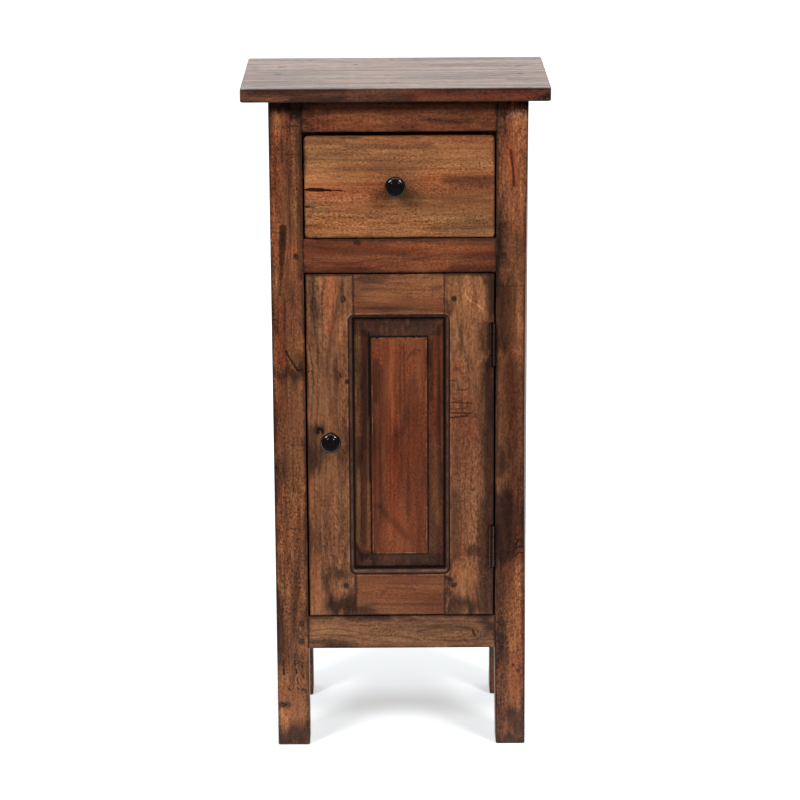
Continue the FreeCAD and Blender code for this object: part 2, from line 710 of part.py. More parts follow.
def make_strip(name, side_name, level):
    """A square strip nailed to a front and a back leg: a drawer runner, a kicker or a shelf cleat."""
    side = SIDES[side_name]
    strip = new_body(f"{name}_{side_name}", f"{side} * (half_clear - strip_width / 2)",
                     "front_rail_thickness", level)
    pad(strip, "Y", "0", "strip_length", box("-strip_width / 2", "0", "strip_width / 2", "strip_height"))
    holes = [circle(spot, "strip_height / 2", "nail_hole") for spot in STRIP_NAIL_SPOTS]
    pocket(strip, "X", "-strip_width / 2", "strip_width / 2", *holes)
    heads = [circle(spot, "strip_height / 2", "head_hole") for spot in STRIP_NAIL_SPOTS]
    pocket(strip, "X", *span(side, "-strip_width / 2", "-strip_width / 2 + nail_head_thickness"), *heads)


def strip_nails():
    """The nails that hold the six strips to the legs, driven outwards."""
    nails = []
    for side in (1, -1):
        for level in STRIP_LEVELS:
            for spot in STRIP_NAIL_SPOTS:
                nails.append(nail("X" if side > 0 else "-X", f"{side} * (half_clear - strip_width)",
                                  f"front_rail_thickness + {spot}", f"{level} + strip_height / 2",
                                  "strip_nail_length"))
    group("strip_nails", nails)


# ---------------------------------------------------------------- carcass: top
TOP_NAILS = {
    "front": [("-middle_nail_shift", "front_nail_setback")],
    "middle": [(f"{side} * (carcass_width / 2 - end_nail_inset)", "end_nail_front") for side in (1, -1)],
    "back": [(f"{side} * (carcass_width / 2 - end_nail_inset)", "end_nail_front + end_nail_spacing")
             for side in (1, -1)] + [("-middle_nail_shift", "back_rail_front + back_rail_thickness / 2")],
}
TOP_DEPTH = "top_front_overhang + carcass_depth + top_back_overhang"
TOP_BOARDS = {
    "front": ("0", "top_front_board"),
    "middle": ("top_front_board", "top_front_board + top_middle_board"),
    "back": ("top_front_board + top_middle_board", TOP_DEPTH),
}


def make_top_board(name):
    """One of the three boards glued edge to edge. Its outer edges are eased all round."""
    start, stop = TOP_BOARDS[name]
    outer = {"front": "0", "back": f"{stop} - ({start})"}.get(name)
    board = new_body(f"top_board_{name}", "-carcass_shift", f"{start} - top_front_overhang", "leg_height")
    depth = f"{stop} - ({start})"
    pad(board, "Z", "0", "top_thickness", box("-top_width / 2", "0", "top_width / 2", depth))
    if outer is not None:
        dress("Fillet", board, "top_corner_round",
              lambda edge: runs_along(edge, "Z") and is_at(edge, "Y", outer))
    seams = [level for level in ("0", depth) if level != outer]
    dress("Fillet", board, "top_edge_round",
          lambda edge: not runs_along(edge, "Z") and not any(is_at(edge, "Y", seam) for seam in seams))
    spots = [(f"{x} + carcass_shift", f"{y} + top_front_overhang - ({start})") for x, y in TOP_NAILS[name]]
    pocket(board, "Z", "0", "top_thickness", *[circle(x, y, "nail_hole") for x, y in spots])
    pocket(board, "Z", "top_thickness - nail_head_thickness", "top_thickness",
           *[circle(x, y, "head_hole") for x, y in spots])


def top_nails():
    """The nails that hold the top down to the rails."""
    group("top_nails", [nail("-Z", x, y, "leg_height + top_thickness", "top_nail_length")
                        for spots in TOP_NAILS.values() for x, y in spots])


def frame_pegs():
    """The pegs that lock the front rails' tenons in the legs."""
    group("frame_pegs", [rod("Y", f"{side} * (half_clear + peg_inset)", "0", level,
                             "peg_diameter / 2", "peg_length") for side in (1, -1) for level in PEG_LEVELS])


# ---------------------------------------------------------------- door
DOOR_Z = "floor_top + door_gap"


def sticking(place_point, flip):
    """The moulding's cross-section: a quirk and a quarter round, from the opening's edge outwards.
    place_point turns a distance out from the edge and a depth into sketch coordinates."""
    rim = "sticking_width"
    top = "sticking_radius"
    return [place_point("0", f"-{CUT_MARGIN}"), place_point(rim, f"-{CUT_MARGIN}"),
            place_point(rim, "sticking_quirk"), place_point(top, "sticking_quirk"),
            (*place_point("0", "sticking_quirk + sticking_radius"), "sticking_radius", flip)]


def make_stile(side_name):
    """An upright of the door. X = 0 is its inner edge, where the rails' shoulders meet it."""
    side = SIDES[side_name]
    width = "hinge_stile_width" if side > 0 else "lock_stile_width"
    stile = new_body(f"door_stile_{side_name}", f"panel_middle + {side} * panel_half", "0", DOOR_Z)
    across = span(side, "0", width)
    pad(stile, "Z", "0", "door_height", box(across[0], "0", across[1], "door_thickness"))
    outer = f"{side} * {width}"
    dress("Fillet", stile, "arris", lambda edge: runs_along(edge, "Z") and is_at(edge, "X", outer))
    groove = ("door_groove_setback", "door_groove_setback + door_groove_width")
    reach = span(side, "0", "door_groove_depth")
    pocket(stile, "Z", "0", "door_height", box(reach[0], groove[0], reach[1], groove[1]))
    pocket(stile, "X", *span(side, "0", "door_tenon_length + mortise_slack"),
           box(groove[0], "door_haunch", groove[1], "door_bottom_rail - door_groove_depth"),
           box(groove[0], "panel_top + door_groove_depth", groove[1], "door_height - door_haunch"))
    profile = sticking(lambda out, depth: (f"{side} * ({out})", depth), 1 if side > 0 else -1)
    pocket(stile, "Z", "door_bottom_rail", "panel_top", profile)
    turn("Groove", stile, profile, "panel_top", 90, side > 0)
    turn("Groove", stile, profile, "door_bottom_rail", 90, side < 0)
    pegs = [circle(f"{side} * door_peg_inset", spot, "peg_hole")
            for spot in ("door_peg_from_bottom", "door_height - door_peg_from_top")]
    pocket(stile, "Y", "0", "door_peg_length", *pegs)
    if side > 0:
        for level in HINGE_LEVELS:
            pocket(stile, "Z", level, f"{level} + hinge_length",
                   box(f"{width} - hinge_leaf_thickness", "0", width, "hinge_leaf_depth"))
            pocket(stile, "Z", f"{level} - hinge_end_room", f"{level} + hinge_length + hinge_end_room",
                   circle(f"{width} - hinge_edge", "-hinge_axis_proud", "hinge_notch"))
        screws = [circle("hinge_screw_line", f"{level} + {offset}", "screw_hole")
                  for level in HINGE_LEVELS for offset in HINGE_SCREWS]
        pocket(stile, "X", f"{width} - wood_screw_length", width, *screws)
    else:
        pocket(stile, "Y", "0", "door_thickness",
               circle(f"-{width} / 2", "door_knob_height", "knob_hole_diameter / 2"))
        pocket(stile, "Y", "door_thickness + strike_thickness - wood_screw_length", "door_thickness",
               circle("panel_half - panel_middle - strike_x", "strike_bottom + strike_height / 2",
                      "screw_hole"))


def make_door_rail(level_name):
    """A cross-piece of the door, haunched and tenoned into the stiles. Z = 0 is its lower edge."""
    top = level_name == "top"
    height = "door_top_rail" if top else "door_bottom_rail"
    rail = new_body(f"door_rail_{level_name}", "panel_middle", "0",
                    f"{DOOR_Z} + panel_top" if top else DOOR_Z)
    pad(rail, "X", "-panel_half", "panel_half", box("0", "0", "door_thickness", height))
    outer = height if top else "0"
    dress("Fillet", rail, "arris", lambda edge: runs_along(edge, "X") and is_at(edge, "Z", outer))
    groove = ("door_groove_setback", "door_groove_setback + door_groove_width")
    if top:
        depths = ("0", "door_groove_depth")
        haunch = ("door_groove_depth", height)
        tenon = ("door_groove_depth", f"{height} - door_haunch")
        profile = sticking(lambda out, depth: (depth, out), -1)
    else:
        depths = (f"{height} - door_groove_depth", height)
        haunch = ("0", f"{height} - door_groove_depth")
        tenon = ("door_haunch", f"{height} - door_groove_depth")
        profile = sticking(lambda out, depth: (depth, f"{height} - ({out})"), 1)
    pocket(rail, "X", "-panel_half", "panel_half", box(groove[0], depths[0], groove[1], depths[1]))
    pocket(rail, "X", "-panel_half", "panel_half", profile)
    pad(rail, "X", "-panel_half - door_groove_depth", "panel_half + door_groove_depth",
        box(groove[0], haunch[0], groove[1], haunch[1]))
    pad(rail, "X", "-panel_half - door_tenon_length", "panel_half + door_tenon_length",
        box(groove[0], tenon[0], groove[1], tenon[1]))
    peg_z = f"{height} - door_peg_from_top" if top else "door_peg_from_bottom"
    pegs = [circle(f"{side} * (panel_half + door_peg_inset)", peg_z, "peg_hole") for side in (1, -1)]
    pocket(rail, "Y", *groove, *pegs)


def make_door_panel():
    """The raised and fielded panel: a tongue all round, a bevelled border and a raised field.
    It stands on the groove's floor in the bottom rail and has room above and beside it."""
    panel = new_body("door_panel", "panel_middle", "0", f"{DOOR_Z} + door_bottom_rail - door_groove_depth")
    half = "(panel_half + door_groove_depth - door_panel_slack)"
    tall = "(panel_top - door_bottom_rail + 2 * (door_groove_depth - door_panel_slack))"
    tongue = ("door_groove_setback + groove_play", "door_groove_setback + door_groove_width - groove_play")

    def inside(margin):
        """The panel's outline, brought in by a margin."""
        return box(f"-({half} - {margin})", margin, f"{half} - {margin}", f"{tall} - {margin}")

    pad(panel, "Y", *tongue, inside("0"))
    crest = "field_depth + field_step"
    foot_sketch = new_sketch(panel, "Y", tongue[0])
    draw(foot_sketch, inside("panel_tongue"))
    crest_sketch = new_sketch(panel, "Y", crest)
    draw(crest_sketch, inside("panel_border"))
    bevel = panel.newObject("PartDesign::AdditiveLoft", "door_panel_bevel")
    bevel.Profile = foot_sketch
    bevel.Sections = [crest_sketch]
    bevel.Ruled = True
    panel.Tip = bevel
    pad(panel, "Y", "field_depth", crest, inside("panel_border"))


def door_pegs():
    """The pegs that lock the door's four tenons."""
    levels = (f"{DOOR_Z} + door_peg_from_bottom", f"{DOOR_Z} + door_height - door_peg_from_top")
    group("door_pegs", [rod("Y", f"panel_middle + {side} * (panel_half + door_peg_inset)", "0", level,
                            "peg_diameter / 2", "door_peg_length") for side in (1, -1) for level in levels])


# ---------------------------------------------------------------- drawer
def make_drawer_front():
    """The drawer's front: rebated at both ends for the sides and grooved for the bottom."""
    front = new_body("drawer_front", "0", "0", "middle_rail_top + drawer_gap_below")
    rise = "drawer_running_gap - drawer_gap_below"
    pad(front, "Y", "0", "drawer_front_thickness",
        box("-drawer_half", "0", "drawer_half", "drawer_front_height"))
    dress("Fillet", front, "drawer_corner_round", lambda edge: runs_along(edge, "Y"))
    dress("Fillet", front, "drawer_edge_round", lambda edge: is_at(edge, "Y", "0"))
    for side in (1, -1):
        ends = span(side, "drawer_inner", "drawer_half")
        pocket(front, "Z", "0", "drawer_front_height",
               box(ends[0], "drawer_side_start", ends[1], "drawer_front_thickness"))
    pocket(front, "X", "-drawer_inner", "drawer_inner",
           box("drawer_front_thickness - drawer_groove_depth", f"drawer_bottom_level + {rise}",
               "drawer_front_thickness", f"drawer_bottom_top + 2 * groove_play + {rise}"))
    pocket(front, "Y", "0", "drawer_front_thickness",
           circle("-drawer_knob_shift", "drawer_front_height / 2 + drawer_knob_rise",
                  "knob_hole_diameter / 2"))
    holes = [circle("drawer_nail_front", f"{level} + {rise}", "nail_hole")
             for level in ("drawer_nail_low", "drawer_nail_high")]
    for side in (1, -1):
        pocket(front, "X", *span(side, "drawer_outer - drawer_nail_length", "drawer_inner"), *holes)


def make_drawer_side(side_name):
    """A drawer side, grooved for the bottom and nailed to the front and back. X = 0 is its inner face."""
    side = SIDES[side_name]
    board = new_body(f"drawer_side_{side_name}", f"{side} * drawer_inner", "drawer_side_start",
                     "middle_rail_top + drawer_running_gap")
    across = span(side, "0", "drawer_side_thickness")
    pad(board, "Y", "0", "drawer_length - drawer_side_start",
        box(across[0], "0", across[1], "drawer_side_height"))
    groove = span(side, "0", "drawer_groove_depth")
    pocket(board, "Y", "0", "drawer_length - drawer_side_start",
           box(groove[0], "drawer_bottom_level", groove[1], "drawer_bottom_top + 2 * groove_play"))
    spots = [(f"{spot} - drawer_side_start", level) for spot in ("drawer_nail_front", "drawer_nail_back")
             for level in ("drawer_nail_low", "drawer_nail_high")]
    pocket(board, "X", *across, *[circle(y, z, "nail_hole") for y, z in spots])
    sinks = span(side, "drawer_side_thickness - nail_head_thickness", "drawer_side_thickness")
    pocket(board, "X", *sinks, *[circle(y, z, "head_hole") for y, z in spots])


def make_drawer_back():
    """The drawer's back, standing on the bottom between the sides."""
    board = new_body("drawer_back", "0", "drawer_back_end - drawer_back_thickness",
                     "middle_rail_top + drawer_running_gap + drawer_bottom_top")
    tall = "drawer_side_height - drawer_back_drop - drawer_bottom_top"
    pad(board, "Y", "0", "drawer_back_thickness", box("-drawer_inner", "0", "drawer_inner", tall))
    holes = [circle("drawer_back_thickness / 2", f"{level} - drawer_bottom_top", "nail_hole")
             for level in ("drawer_nail_low", "drawer_nail_high")]
    for side in (1, -1):
        pocket(board, "X", *span(side, "drawer_outer - drawer_nail_length", "drawer_inner"), *holes)


def make_drawer_bottom():
    """The drawer's bottom, slid into the grooves from behind."""
    board = new_body("drawer_bottom", "0", "drawer_front_thickness - drawer_groove_depth + board_slack / 2",
                     "middle_rail_top + drawer_running_gap + drawer_bottom_level")
    reach = "drawer_inner + drawer_groove_depth - board_slack / 2"
    deep = "drawer_length - drawer_front_thickness + drawer_groove_depth - board_slack / 2"
    pad(board, "Z", "0", "drawer_bottom_thickness", box(f"-({reach})", "0", reach, deep))


def drawer_nails():
    """The nails through the drawer's sides into its front and back."""
    nails = []
    for side in (1, -1):
        for spot in ("drawer_nail_front", "drawer_nail_back"):
            for level in ("drawer_nail_low", "drawer_nail_high"):
                nails.append(nail("-X" if side > 0 else "X", f"{side} * drawer_outer", spot,
                                  f"middle_rail_top + drawer_running_gap + {level}", "drawer_nail_length"))
    group("drawer_nails", nails)


# ---------------------------------------------------------------- knobs
KNOBS = {
    "drawer": ("-drawer_knob_shift",
               "middle_rail_top + drawer_gap_below + drawer_front_height / 2 + drawer_knob_rise",
               "drawer_front_thickness"),
    "door": ("-knob_x", f"{DOOR_Z} + door_knob_height", "door_thickness"),
}


def make_knob(name):
    """A turned knob on its foot: a waisted neck, a broad rim, a sunk ring and a low dome."""
    x, z, _ = KNOBS[name]
    knob = new_body(f"{name}_knob", x, "0", z)
    half = "knob_diameter / 2"
    turn("Revolution", knob, [
        ("0", "-knob_bore_depth"), ("knob_bore", "-knob_bore_depth"), ("knob_bore", "0"),
        ("knob_foot_diameter / 2", "0"), ("knob_foot_diameter / 2", "-knob_foot_thickness"),
        ("knob_neck_diameter / 2", "-knob_neck_level", "knob_neck_level - knob_foot_thickness", 1),
        (half, "-knob_rim_level", "knob_flare_radius", 1),
        (f"{half} - knob_rim_round", "-knob_rim_level - knob_rim_round", "knob_rim_round", -1),
        ("knob_ring_diameter / 2", "-knob_ring_level"),
        ("knob_ring_diameter / 2", "knob_ring_depth - knob_ring_level"),
        ("knob_dome_diameter / 2", "knob_ring_depth - knob_ring_level"),
        ("knob_dome_diameter / 2", "-knob_ring_level"),
        ("0", "-knob_projection", "knob_dome_radius", -1),
    ])


def make_knob_screw(name):
    """The machine screw that holds a knob, its head behind the wood."""
    x, z, thickness = KNOBS[name]
    head = rod("Y", x, thickness, z, "knob_screw_head_diameter / 2", "knob_screw_head_height")
    shank = rod("-Y", x, thickness, z, "knob_screw_diameter / 2",
                f"{thickness} + knob_bore_depth - knob_screw_slack")
    screw = joined([head, shank])
    screw.Label = f"{name}_knob_screw"
    pieces.append(screw)


# ---------------------------------------------------------------- hinges
def make_hinge_leaf(name, level, on_frame):
    """A hinge leaf with its knuckles. The pin's axis is X = 0, Y = 0 and the hinge stands on Z = 0."""
    kind = "frame" if on_frame else "door"
    leaf = new_body(f"hinge_{name}_{kind}_leaf", "hinge_axis_x", "-hinge_axis_proud", f"{DOOR_Z} + {level}")
    back = "hinge_axis_inset" if on_frame else "hinge_edge"
    pad(leaf, "Z", "0", "hinge_length", box(f"{back} - hinge_leaf_thickness", "0", back, "hinge_reach"))
    middle = ("hinge_end_knuckle - hinge_knuckle_gap / 2", "end_knuckle_top + hinge_knuckle_gap / 2")
    if on_frame:
        pad(leaf, "Z", "0", "hinge_length",
            box("0", "-hinge_leaf_thickness / 2", back, "hinge_leaf_thickness / 2"))
        spaces = [middle]
    else:
        spaces = [("0", "hinge_end_knuckle + hinge_knuckle_gap / 2"),
                  ("end_knuckle_top - hinge_knuckle_gap / 2", "hinge_length")]
    pad(leaf, "Z", "0", "hinge_length", circle("0", "0", "hinge_radius"))
    for low, high in spaces:
        pocket(leaf, "Z", low, high, circle("0", "0", "hinge_notch"))
    pocket(leaf, "Z", "0", "hinge_length", circle("0", "0", "hinge_pin_diameter / 2 + hinge_pin_fit"))
    holes = [circle("hinge_axis_proud + hinge_screw_line", offset, "screw_hole") for offset in HINGE_SCREWS]
    pocket(leaf, "X", f"{back} - hinge_leaf_thickness", back, *holes)
    mouth = f"{back} - hinge_leaf_thickness" if on_frame else back
    dress("Chamfer", leaf, "screw_head_depth",
          lambda edge: len(edge.Vertexes) == 1 and is_at(edge, "X", mouth)
          and not is_at(edge, "Y", "0"))


def hinge_pins():
    """The pin through each hinge's three knuckles, with a peened head at both ends."""
    pins = []
    for level in HINGE_LEVELS:
        base = f"{DOOR_Z} + {level}"
        low = rod("-Z", "hinge_axis_x", "-hinge_axis_proud", base, "hinge_pin_head_diameter / 2",
                  "hinge_pin_head_height")
        high = rod("Z", "hinge_axis_x", "-hinge_axis_proud", f"{base} + hinge_length",
                   "hinge_pin_head_diameter / 2", "hinge_pin_head_height")
        pin = rod("Z", "hinge_axis_x", "-hinge_axis_proud", base, "hinge_pin_diameter / 2", "hinge_length")
        pins.append(joined([low, pin, high]))
    group("hinge_pins", pins)


def hinge_screws(kind):
    """The countersunk screws of both hinges' leaves on the leg or on the door."""
    axis = "X" if kind == "frame" else "-X"
    x = "half_clear - hinge_leaf_thickness" if kind == "frame" else "door_half"
    group(f"hinge_{kind}_screws", [wood_screw(axis, x, "hinge_screw_line", f"{DOOR_Z} + {level} + {offset}")
                                   for level in HINGE_LEVELS for offset in HINGE_SCREWS])


# ---------------------------------------------------------------- magnetic catch
def make_catch():
    """The catch's housing and magnet on the left leg, and the strike plate on the door."""
    housing = new_body("catch_housing", "-half_clear", "catch_front", "catch_bottom")
    block = ("(catch_height - catch_block) / 2", "(catch_height + catch_block) / 2")
    pad(housing, "X", "0", "catch_plate", box("0", "0", "catch_depth", "catch_height"))
    pad(housing, "X", "0", "catch_width", box("0", block[0], "catch_depth", block[1]))
    magnet = ("(catch_height - magnet_height) / 2", "(catch_height + magnet_height) / 2")
    pocket(housing, "Y", "0", "magnet_depth",
           box("magnet_left", magnet[0], "magnet_left + magnet_width", magnet[1]))
    pocket(housing, "X", "0", "catch_plate",
           *[circle("catch_depth / 2", offset, "screw_hole") for offset in CATCH_SCREWS])
    dress("Chamfer", housing, "screw_head_depth",
          lambda edge: len(edge.Vertexes) == 1 and is_at(edge, "X", "catch_plate"))
    core = new_body("catch_magnet", "magnet_left - half_clear", "catch_front",
                    f"catch_bottom + {magnet[0]}")
    pad(core, "Y", "0", "magnet_depth", box("0", "0", "magnet_width", "magnet_height"))
    group("catch_screws", [wood_screw("-X", "catch_plate - half_clear", "catch_front + catch_depth / 2",
                                      f"catch_bottom + {offset}") for offset in CATCH_SCREWS])
    plate = new_body("catch_strike_plate", "-strike_x", "door_thickness", f"{DOOR_Z} + strike_bottom")
    pad(plate, "Y", "0", "strike_thickness",
        box("-strike_width / 2", "0", "strike_width / 2", "strike_height"))
    pocket(plate, "Y", "0", "strike_thickness", circle("0", "strike_height / 2", "screw_hole"))
    dress("Chamfer", plate, "screw_head_depth",
          lambda edge: len(edge.Vertexes) == 1 and is_at(edge, "Y", "strike_thickness"))
    screw = wood_screw("-Y", "-strike_x", "door_thickness + strike_thickness",
                       f"{DOOR_Z} + strike_bottom + strike_height / 2")
    screw.Label = "catch_strike_screw"
    pieces.append(screw)


# ---------------------------------------------------------------- the assembly
for end_name in ENDS:
    for side_name in SIDES:
        make_leg(side_name, end_name)
for level_name in RAIL_LEVELS:
    make_cross_rail("front", level_name)
for level_name in ("bottom", "top"):
    make_cross_rail("back", level_name)
    for side_name in SIDES:
        make_side_rail(level_name, side_name)
for side_name in SIDES:
    make_side_panel(side_name)
    make_back_board(side_name)
    make_strip("drawer_runner", side_name, "runner_bottom")
    make_strip("drawer_kicker", side_name, "kicker_bottom")
    make_strip("shelf_cleat", side_name, "cleat_bottom")
make_cabinet_floor()
make_shelf()
strip_nails()
for board_name in TOP_BOARDS:
    make_top_board(board_name)
top_nails()
frame_pegs()

for side_name in SIDES:
    make_stile(side_name)
for level_name in ("top", "bottom"):
    make_door_rail(level_name)
make_door_panel()
door_pegs()

make_drawer_front()
for side_name in SIDES:
    make_drawer_side(side_name)
make_drawer_back()
make_drawer_bottom()
drawer_nails()

for knob_name in KNOBS:
    make_knob(knob_name)
    make_knob_screw(knob_name)

make_hinge_leaf("upper", "upper_hinge", True)
make_hinge_leaf("upper", "upper_hinge", False)
make_hinge_leaf("lower", "lower_hinge", True)
make_hinge_leaf("lower", "lower_hinge", False)
hinge_pins()
hinge_screws("frame")
hinge_screws("door")
make_catch()

doc.recompute()

# ---------------------------------------------------------------- checks and files
for item in doc.Objects:
    if "Invalid" in item.State or "Error" in item.State:
        raise RuntimeError(f"{item.Name} didn't build: {item.State}")
    if item.isDerivedFrom("PartDesign::Pocket") or item.isDerivedFrom("PartDesign::Groove"):
        if item.BaseFeature.Shape.Volume - item.Shape.Volume < 1e-3:
            raise RuntimeError(f"{item.Name} cuts nothing")
for piece in pieces:
    if piece.Shape.isNull() or not piece.Shape.isValid():
        raise RuntimeError(f"{piece.Label} has no valid shape")

os.makedirs("parts", exist_ok=True)
for piece in pieces:
    piece.Shape.exportStep(f"parts/{piece.Label}.step")
print(f"{len(pieces)} sub-parts written")
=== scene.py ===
import bpy
from math import radians
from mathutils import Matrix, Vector


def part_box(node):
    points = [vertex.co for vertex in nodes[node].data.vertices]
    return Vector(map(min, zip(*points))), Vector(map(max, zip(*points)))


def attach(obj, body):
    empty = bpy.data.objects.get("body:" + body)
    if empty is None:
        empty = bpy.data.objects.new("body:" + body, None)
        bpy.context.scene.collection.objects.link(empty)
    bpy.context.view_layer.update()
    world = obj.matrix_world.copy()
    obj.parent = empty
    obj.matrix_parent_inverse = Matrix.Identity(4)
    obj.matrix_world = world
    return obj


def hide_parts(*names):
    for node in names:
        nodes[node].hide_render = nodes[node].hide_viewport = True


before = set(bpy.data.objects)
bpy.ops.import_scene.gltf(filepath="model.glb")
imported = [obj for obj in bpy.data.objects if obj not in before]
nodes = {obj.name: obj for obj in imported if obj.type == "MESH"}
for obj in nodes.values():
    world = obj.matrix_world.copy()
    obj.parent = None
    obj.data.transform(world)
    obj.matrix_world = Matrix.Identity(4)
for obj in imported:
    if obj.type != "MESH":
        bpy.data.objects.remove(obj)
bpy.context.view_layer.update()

# ------------------ studio
# A white paper floor under the table and white air behind it, a soft box over each shoulder and a
# broad one above. In front the floor is dark, so that the waxed fronts keep their depth.
camera_data = bpy.data.cameras.new("studio_camera")
camera_data.lens = 132.831
camera_data.sensor_width = 36
camera = bpy.data.objects.new("studio_camera", camera_data)
camera.location = (-0.007894, -3.414941, 1.337089)
camera.rotation_euler = (radians(74.7328), radians(0.281), radians(-0.2713))
bpy.context.scene.collection.objects.link(camera)
bpy.context.scene.camera = camera
bpy.context.scene.view_settings.view_transform = "Standard"


def add_node(tree, kind, inputs=(), **settings):
    """One node of the kind ShaderNode and a word. An input takes a plain value or another node's output."""
    item = tree.nodes.new("ShaderNode" + kind)
    for name, setting in settings.items():
        setattr(item, name, setting)
    for key, entry in dict(inputs).items():
        if isinstance(entry, bpy.types.NodeSocket):
            tree.links.new(entry, item.inputs[key])
        else:
            item.inputs[key].default_value = entry
    return item


def maths(tree, operation, first, second=0, third=0, clamp=False):
    return add_node(tree, "Math", {0: first, 1: second, 2: third}, operation=operation,
                    use_clamp=clamp).outputs[0]


def times(tree, first, second):
    return maths(tree, "MULTIPLY", first, second)


def vectors(tree, operation, first, second=(0, 0, 0), output="Vector"):
    """A calculation with vectors. A length, distance or dot product comes out of the output Value."""
    return add_node(tree, "VectorMath", {0: first, 1: second}, operation=operation).outputs[output]


def axes(tree, vector):
    return add_node(tree, "SeparateXYZ", {0: vector}).outputs


def ramp(tree, number, low, high, start=0, end=1):
    """A smooth step of a number from one value to another."""
    return add_node(tree, "MapRange", {"Value": number, "From Min": low, "From Max": high, "To Min": start,
                                       "To Max": end}, interpolation_type="SMOOTHSTEP").outputs["Result"]


def blend(tree, share, first, second, mode="MIX"):
    """A share of the second colour over the first."""
    return add_node(tree, "Mix", {0: share, 6: first, 7: second}, data_type="RGBA",
                    blend_type=mode).outputs[2]


def new_material(name):
    """An empty material, its node tree, and the place of a point in the object's own coordinates."""
    material = bpy.data.materials.new(name)
    material.use_nodes = True
    tree = material.node_tree
    tree.nodes.clear()
    return material, tree, add_node(tree, "TexCoord").outputs["Object"]


def soft_box(name, place, aim, width, height, power):
    """A rectangular soft light at a place, turned to face a point."""
    light = bpy.data.lights.new(name, "AREA")
    light.shape = "RECTANGLE"
    light.size = width
    light.size_y = height
    light.energy = power
    lamp = bpy.data.objects.new(name, light)
    lamp.location = place
    facing = lamp.location - Vector(aim)
    lamp.rotation_euler = facing.to_track_quat("Z", "Y").to_euler()
    bpy.context.scene.collection.objects.link(lamp)


soft_box("left_soft_box", (-1.8, -2.2, 2.5), (0, 0, 0.45), 0.75, 0.85, 58)
soft_box("right_soft_box", (1.8, -2.2, 2.5), (0, 0, 0.45), 0.75, 0.85, 58)
soft_box("overhead_soft_box", (0, 0.2, 2.6), (0, 0, 0.4), 2.4, 2.0, 36)

# The air is white to the camera. Seen in the wax and lacquer it is white behind the table and
# nearly black in front of it, and as a light it is dim.
ROOM_LIGHT, DARK_ROOM = 0.26, 0.03
world = bpy.data.worlds.new("studio_air")
bpy.context.scene.world = world
world.use_nodes = True
air = world.node_tree
air.nodes.clear()
ray = add_node(air, "LightPath").outputs
towards = axes(air, add_node(air, "TexCoord").outputs["Generated"])
wall_share = ramp(air, towards["Y"], -0.1, 0.5, DARK_ROOM, 1)
mirrored = maths(air, "MAXIMUM", ray["Is Glossy Ray"], ray["Is Transmission Ray"])
room = add_node(air, "Mix", {0: mirrored, 2: ROOM_LIGHT, 3: wall_share}, data_type="FLOAT").outputs[0]
strength = maths(air, "MAXIMUM", room, ray["Is Camera Ray"])
background = add_node(air, "Background", {"Color": (1, 1, 1, 1), "Strength": strength})
add_node(air, "OutputWorld", {"Surface": background.outputs[0]})

# The paper is white, and glows where the camera or a reflection sees it. In front of the table
# it is dark to every ray but the camera's.
WHITE_PAPER, DARK_PAPER, PAPER_GLOW = (0.76, 0.8, 0.84, 1), (0.06, 0.06, 0.06, 1), (0.97, 1, 1, 1)
bpy.ops.object.select_all(action="DESELECT")
bpy.ops.mesh.primitive_plane_add(size=18, location=(0, 0, 0))
floor = bpy.context.active_object
floor.name = "paper_floor"
paper, sheet, place = new_material("white_paper")
in_front = ramp(sheet, axes(sheet, place)["Y"], -0.6, -0.12, 1, 0)
away = ramp(sheet, vectors(sheet, "LENGTH", place, output="Value"), 0.3, 2.2)
ray = add_node(sheet, "LightPath").outputs
dark_share = times(sheet, in_front, maths(sheet, "SUBTRACT", 1, ray["Is Camera Ray"]))
matt = add_node(sheet, "BsdfDiffuse", {"Color": blend(sheet, dark_share, WHITE_PAPER, DARK_PAPER)})
paper_glow = times(sheet, maths(sheet, "SUBTRACT", 1, dark_share),
                   maths(sheet, "MULTIPLY_ADD", away, 0.5, 0.5))
glow = add_node(sheet, "Emission", {"Color": PAPER_GLOW, "Strength": paper_glow})
both = add_node(sheet, "AddShader", {0: matt.outputs[0], 1: glow.outputs[0]})
seen = maths(sheet, "MAXIMUM", ray["Is Camera Ray"], ray["Is Glossy Ray"])
seen = maths(sheet, "MAXIMUM", seen, ray["Is Transmission Ray"])
paper_mix = add_node(sheet, "MixShader", {0: seen, 1: matt.outputs[0], 2: both.outputs[0]})
add_node(sheet, "OutputMaterial", {"Surface": paper_mix.outputs[0]})
floor.data.materials.append(paper)


# ------------------ legs
# Four square posts of reclaimed hardwood, sawn, stained, waxed and rubbed back, so that dark
# wax stays in the arrises, cracks and knots. The grain runs up each leg.
def tone(red, green, blue):
    """A colour as a paint chart gives it, 0 to 255, as the shader's own linear colour."""
    return tuple(((part / 255 + 0.055) / 1.055) ** 2.4 if part > 10 else part / 3295
                 for part in (red, green, blue)) + (1,)


def new_group(name, inputs, outputs):
    """An empty shader node group that takes a vector. Each other input comes with its first value: a
    number, a place of three numbers or a colour of four. Each output comes with its kind."""
    tree = bpy.data.node_groups.new(name, "ShaderNodeTree")
    for label, start in {"Vector": (0, 0, 0), **inputs}.items():
        kind = {3: "Vector", 4: "Color"}[len(start)] if isinstance(start, tuple) else "Float"
        socket = tree.interface.new_socket(label, in_out="INPUT", socket_type="NodeSocket" + kind)
        socket.default_value = start
    for label, kind in outputs.items():
        tree.interface.new_socket(label, in_out="OUTPUT", socket_type="NodeSocket" + kind)
    return tree, tree.nodes.new("NodeGroupInput").outputs, tree.nodes.new("NodeGroupOutput").inputs


def use_group(tree, group, vector, **entries):
    """Place a node group, with its vector linked and its other inputs set or linked."""
    return add_node(tree, "Group", {"Vector": vector, **entries}, node_tree=group).outputs


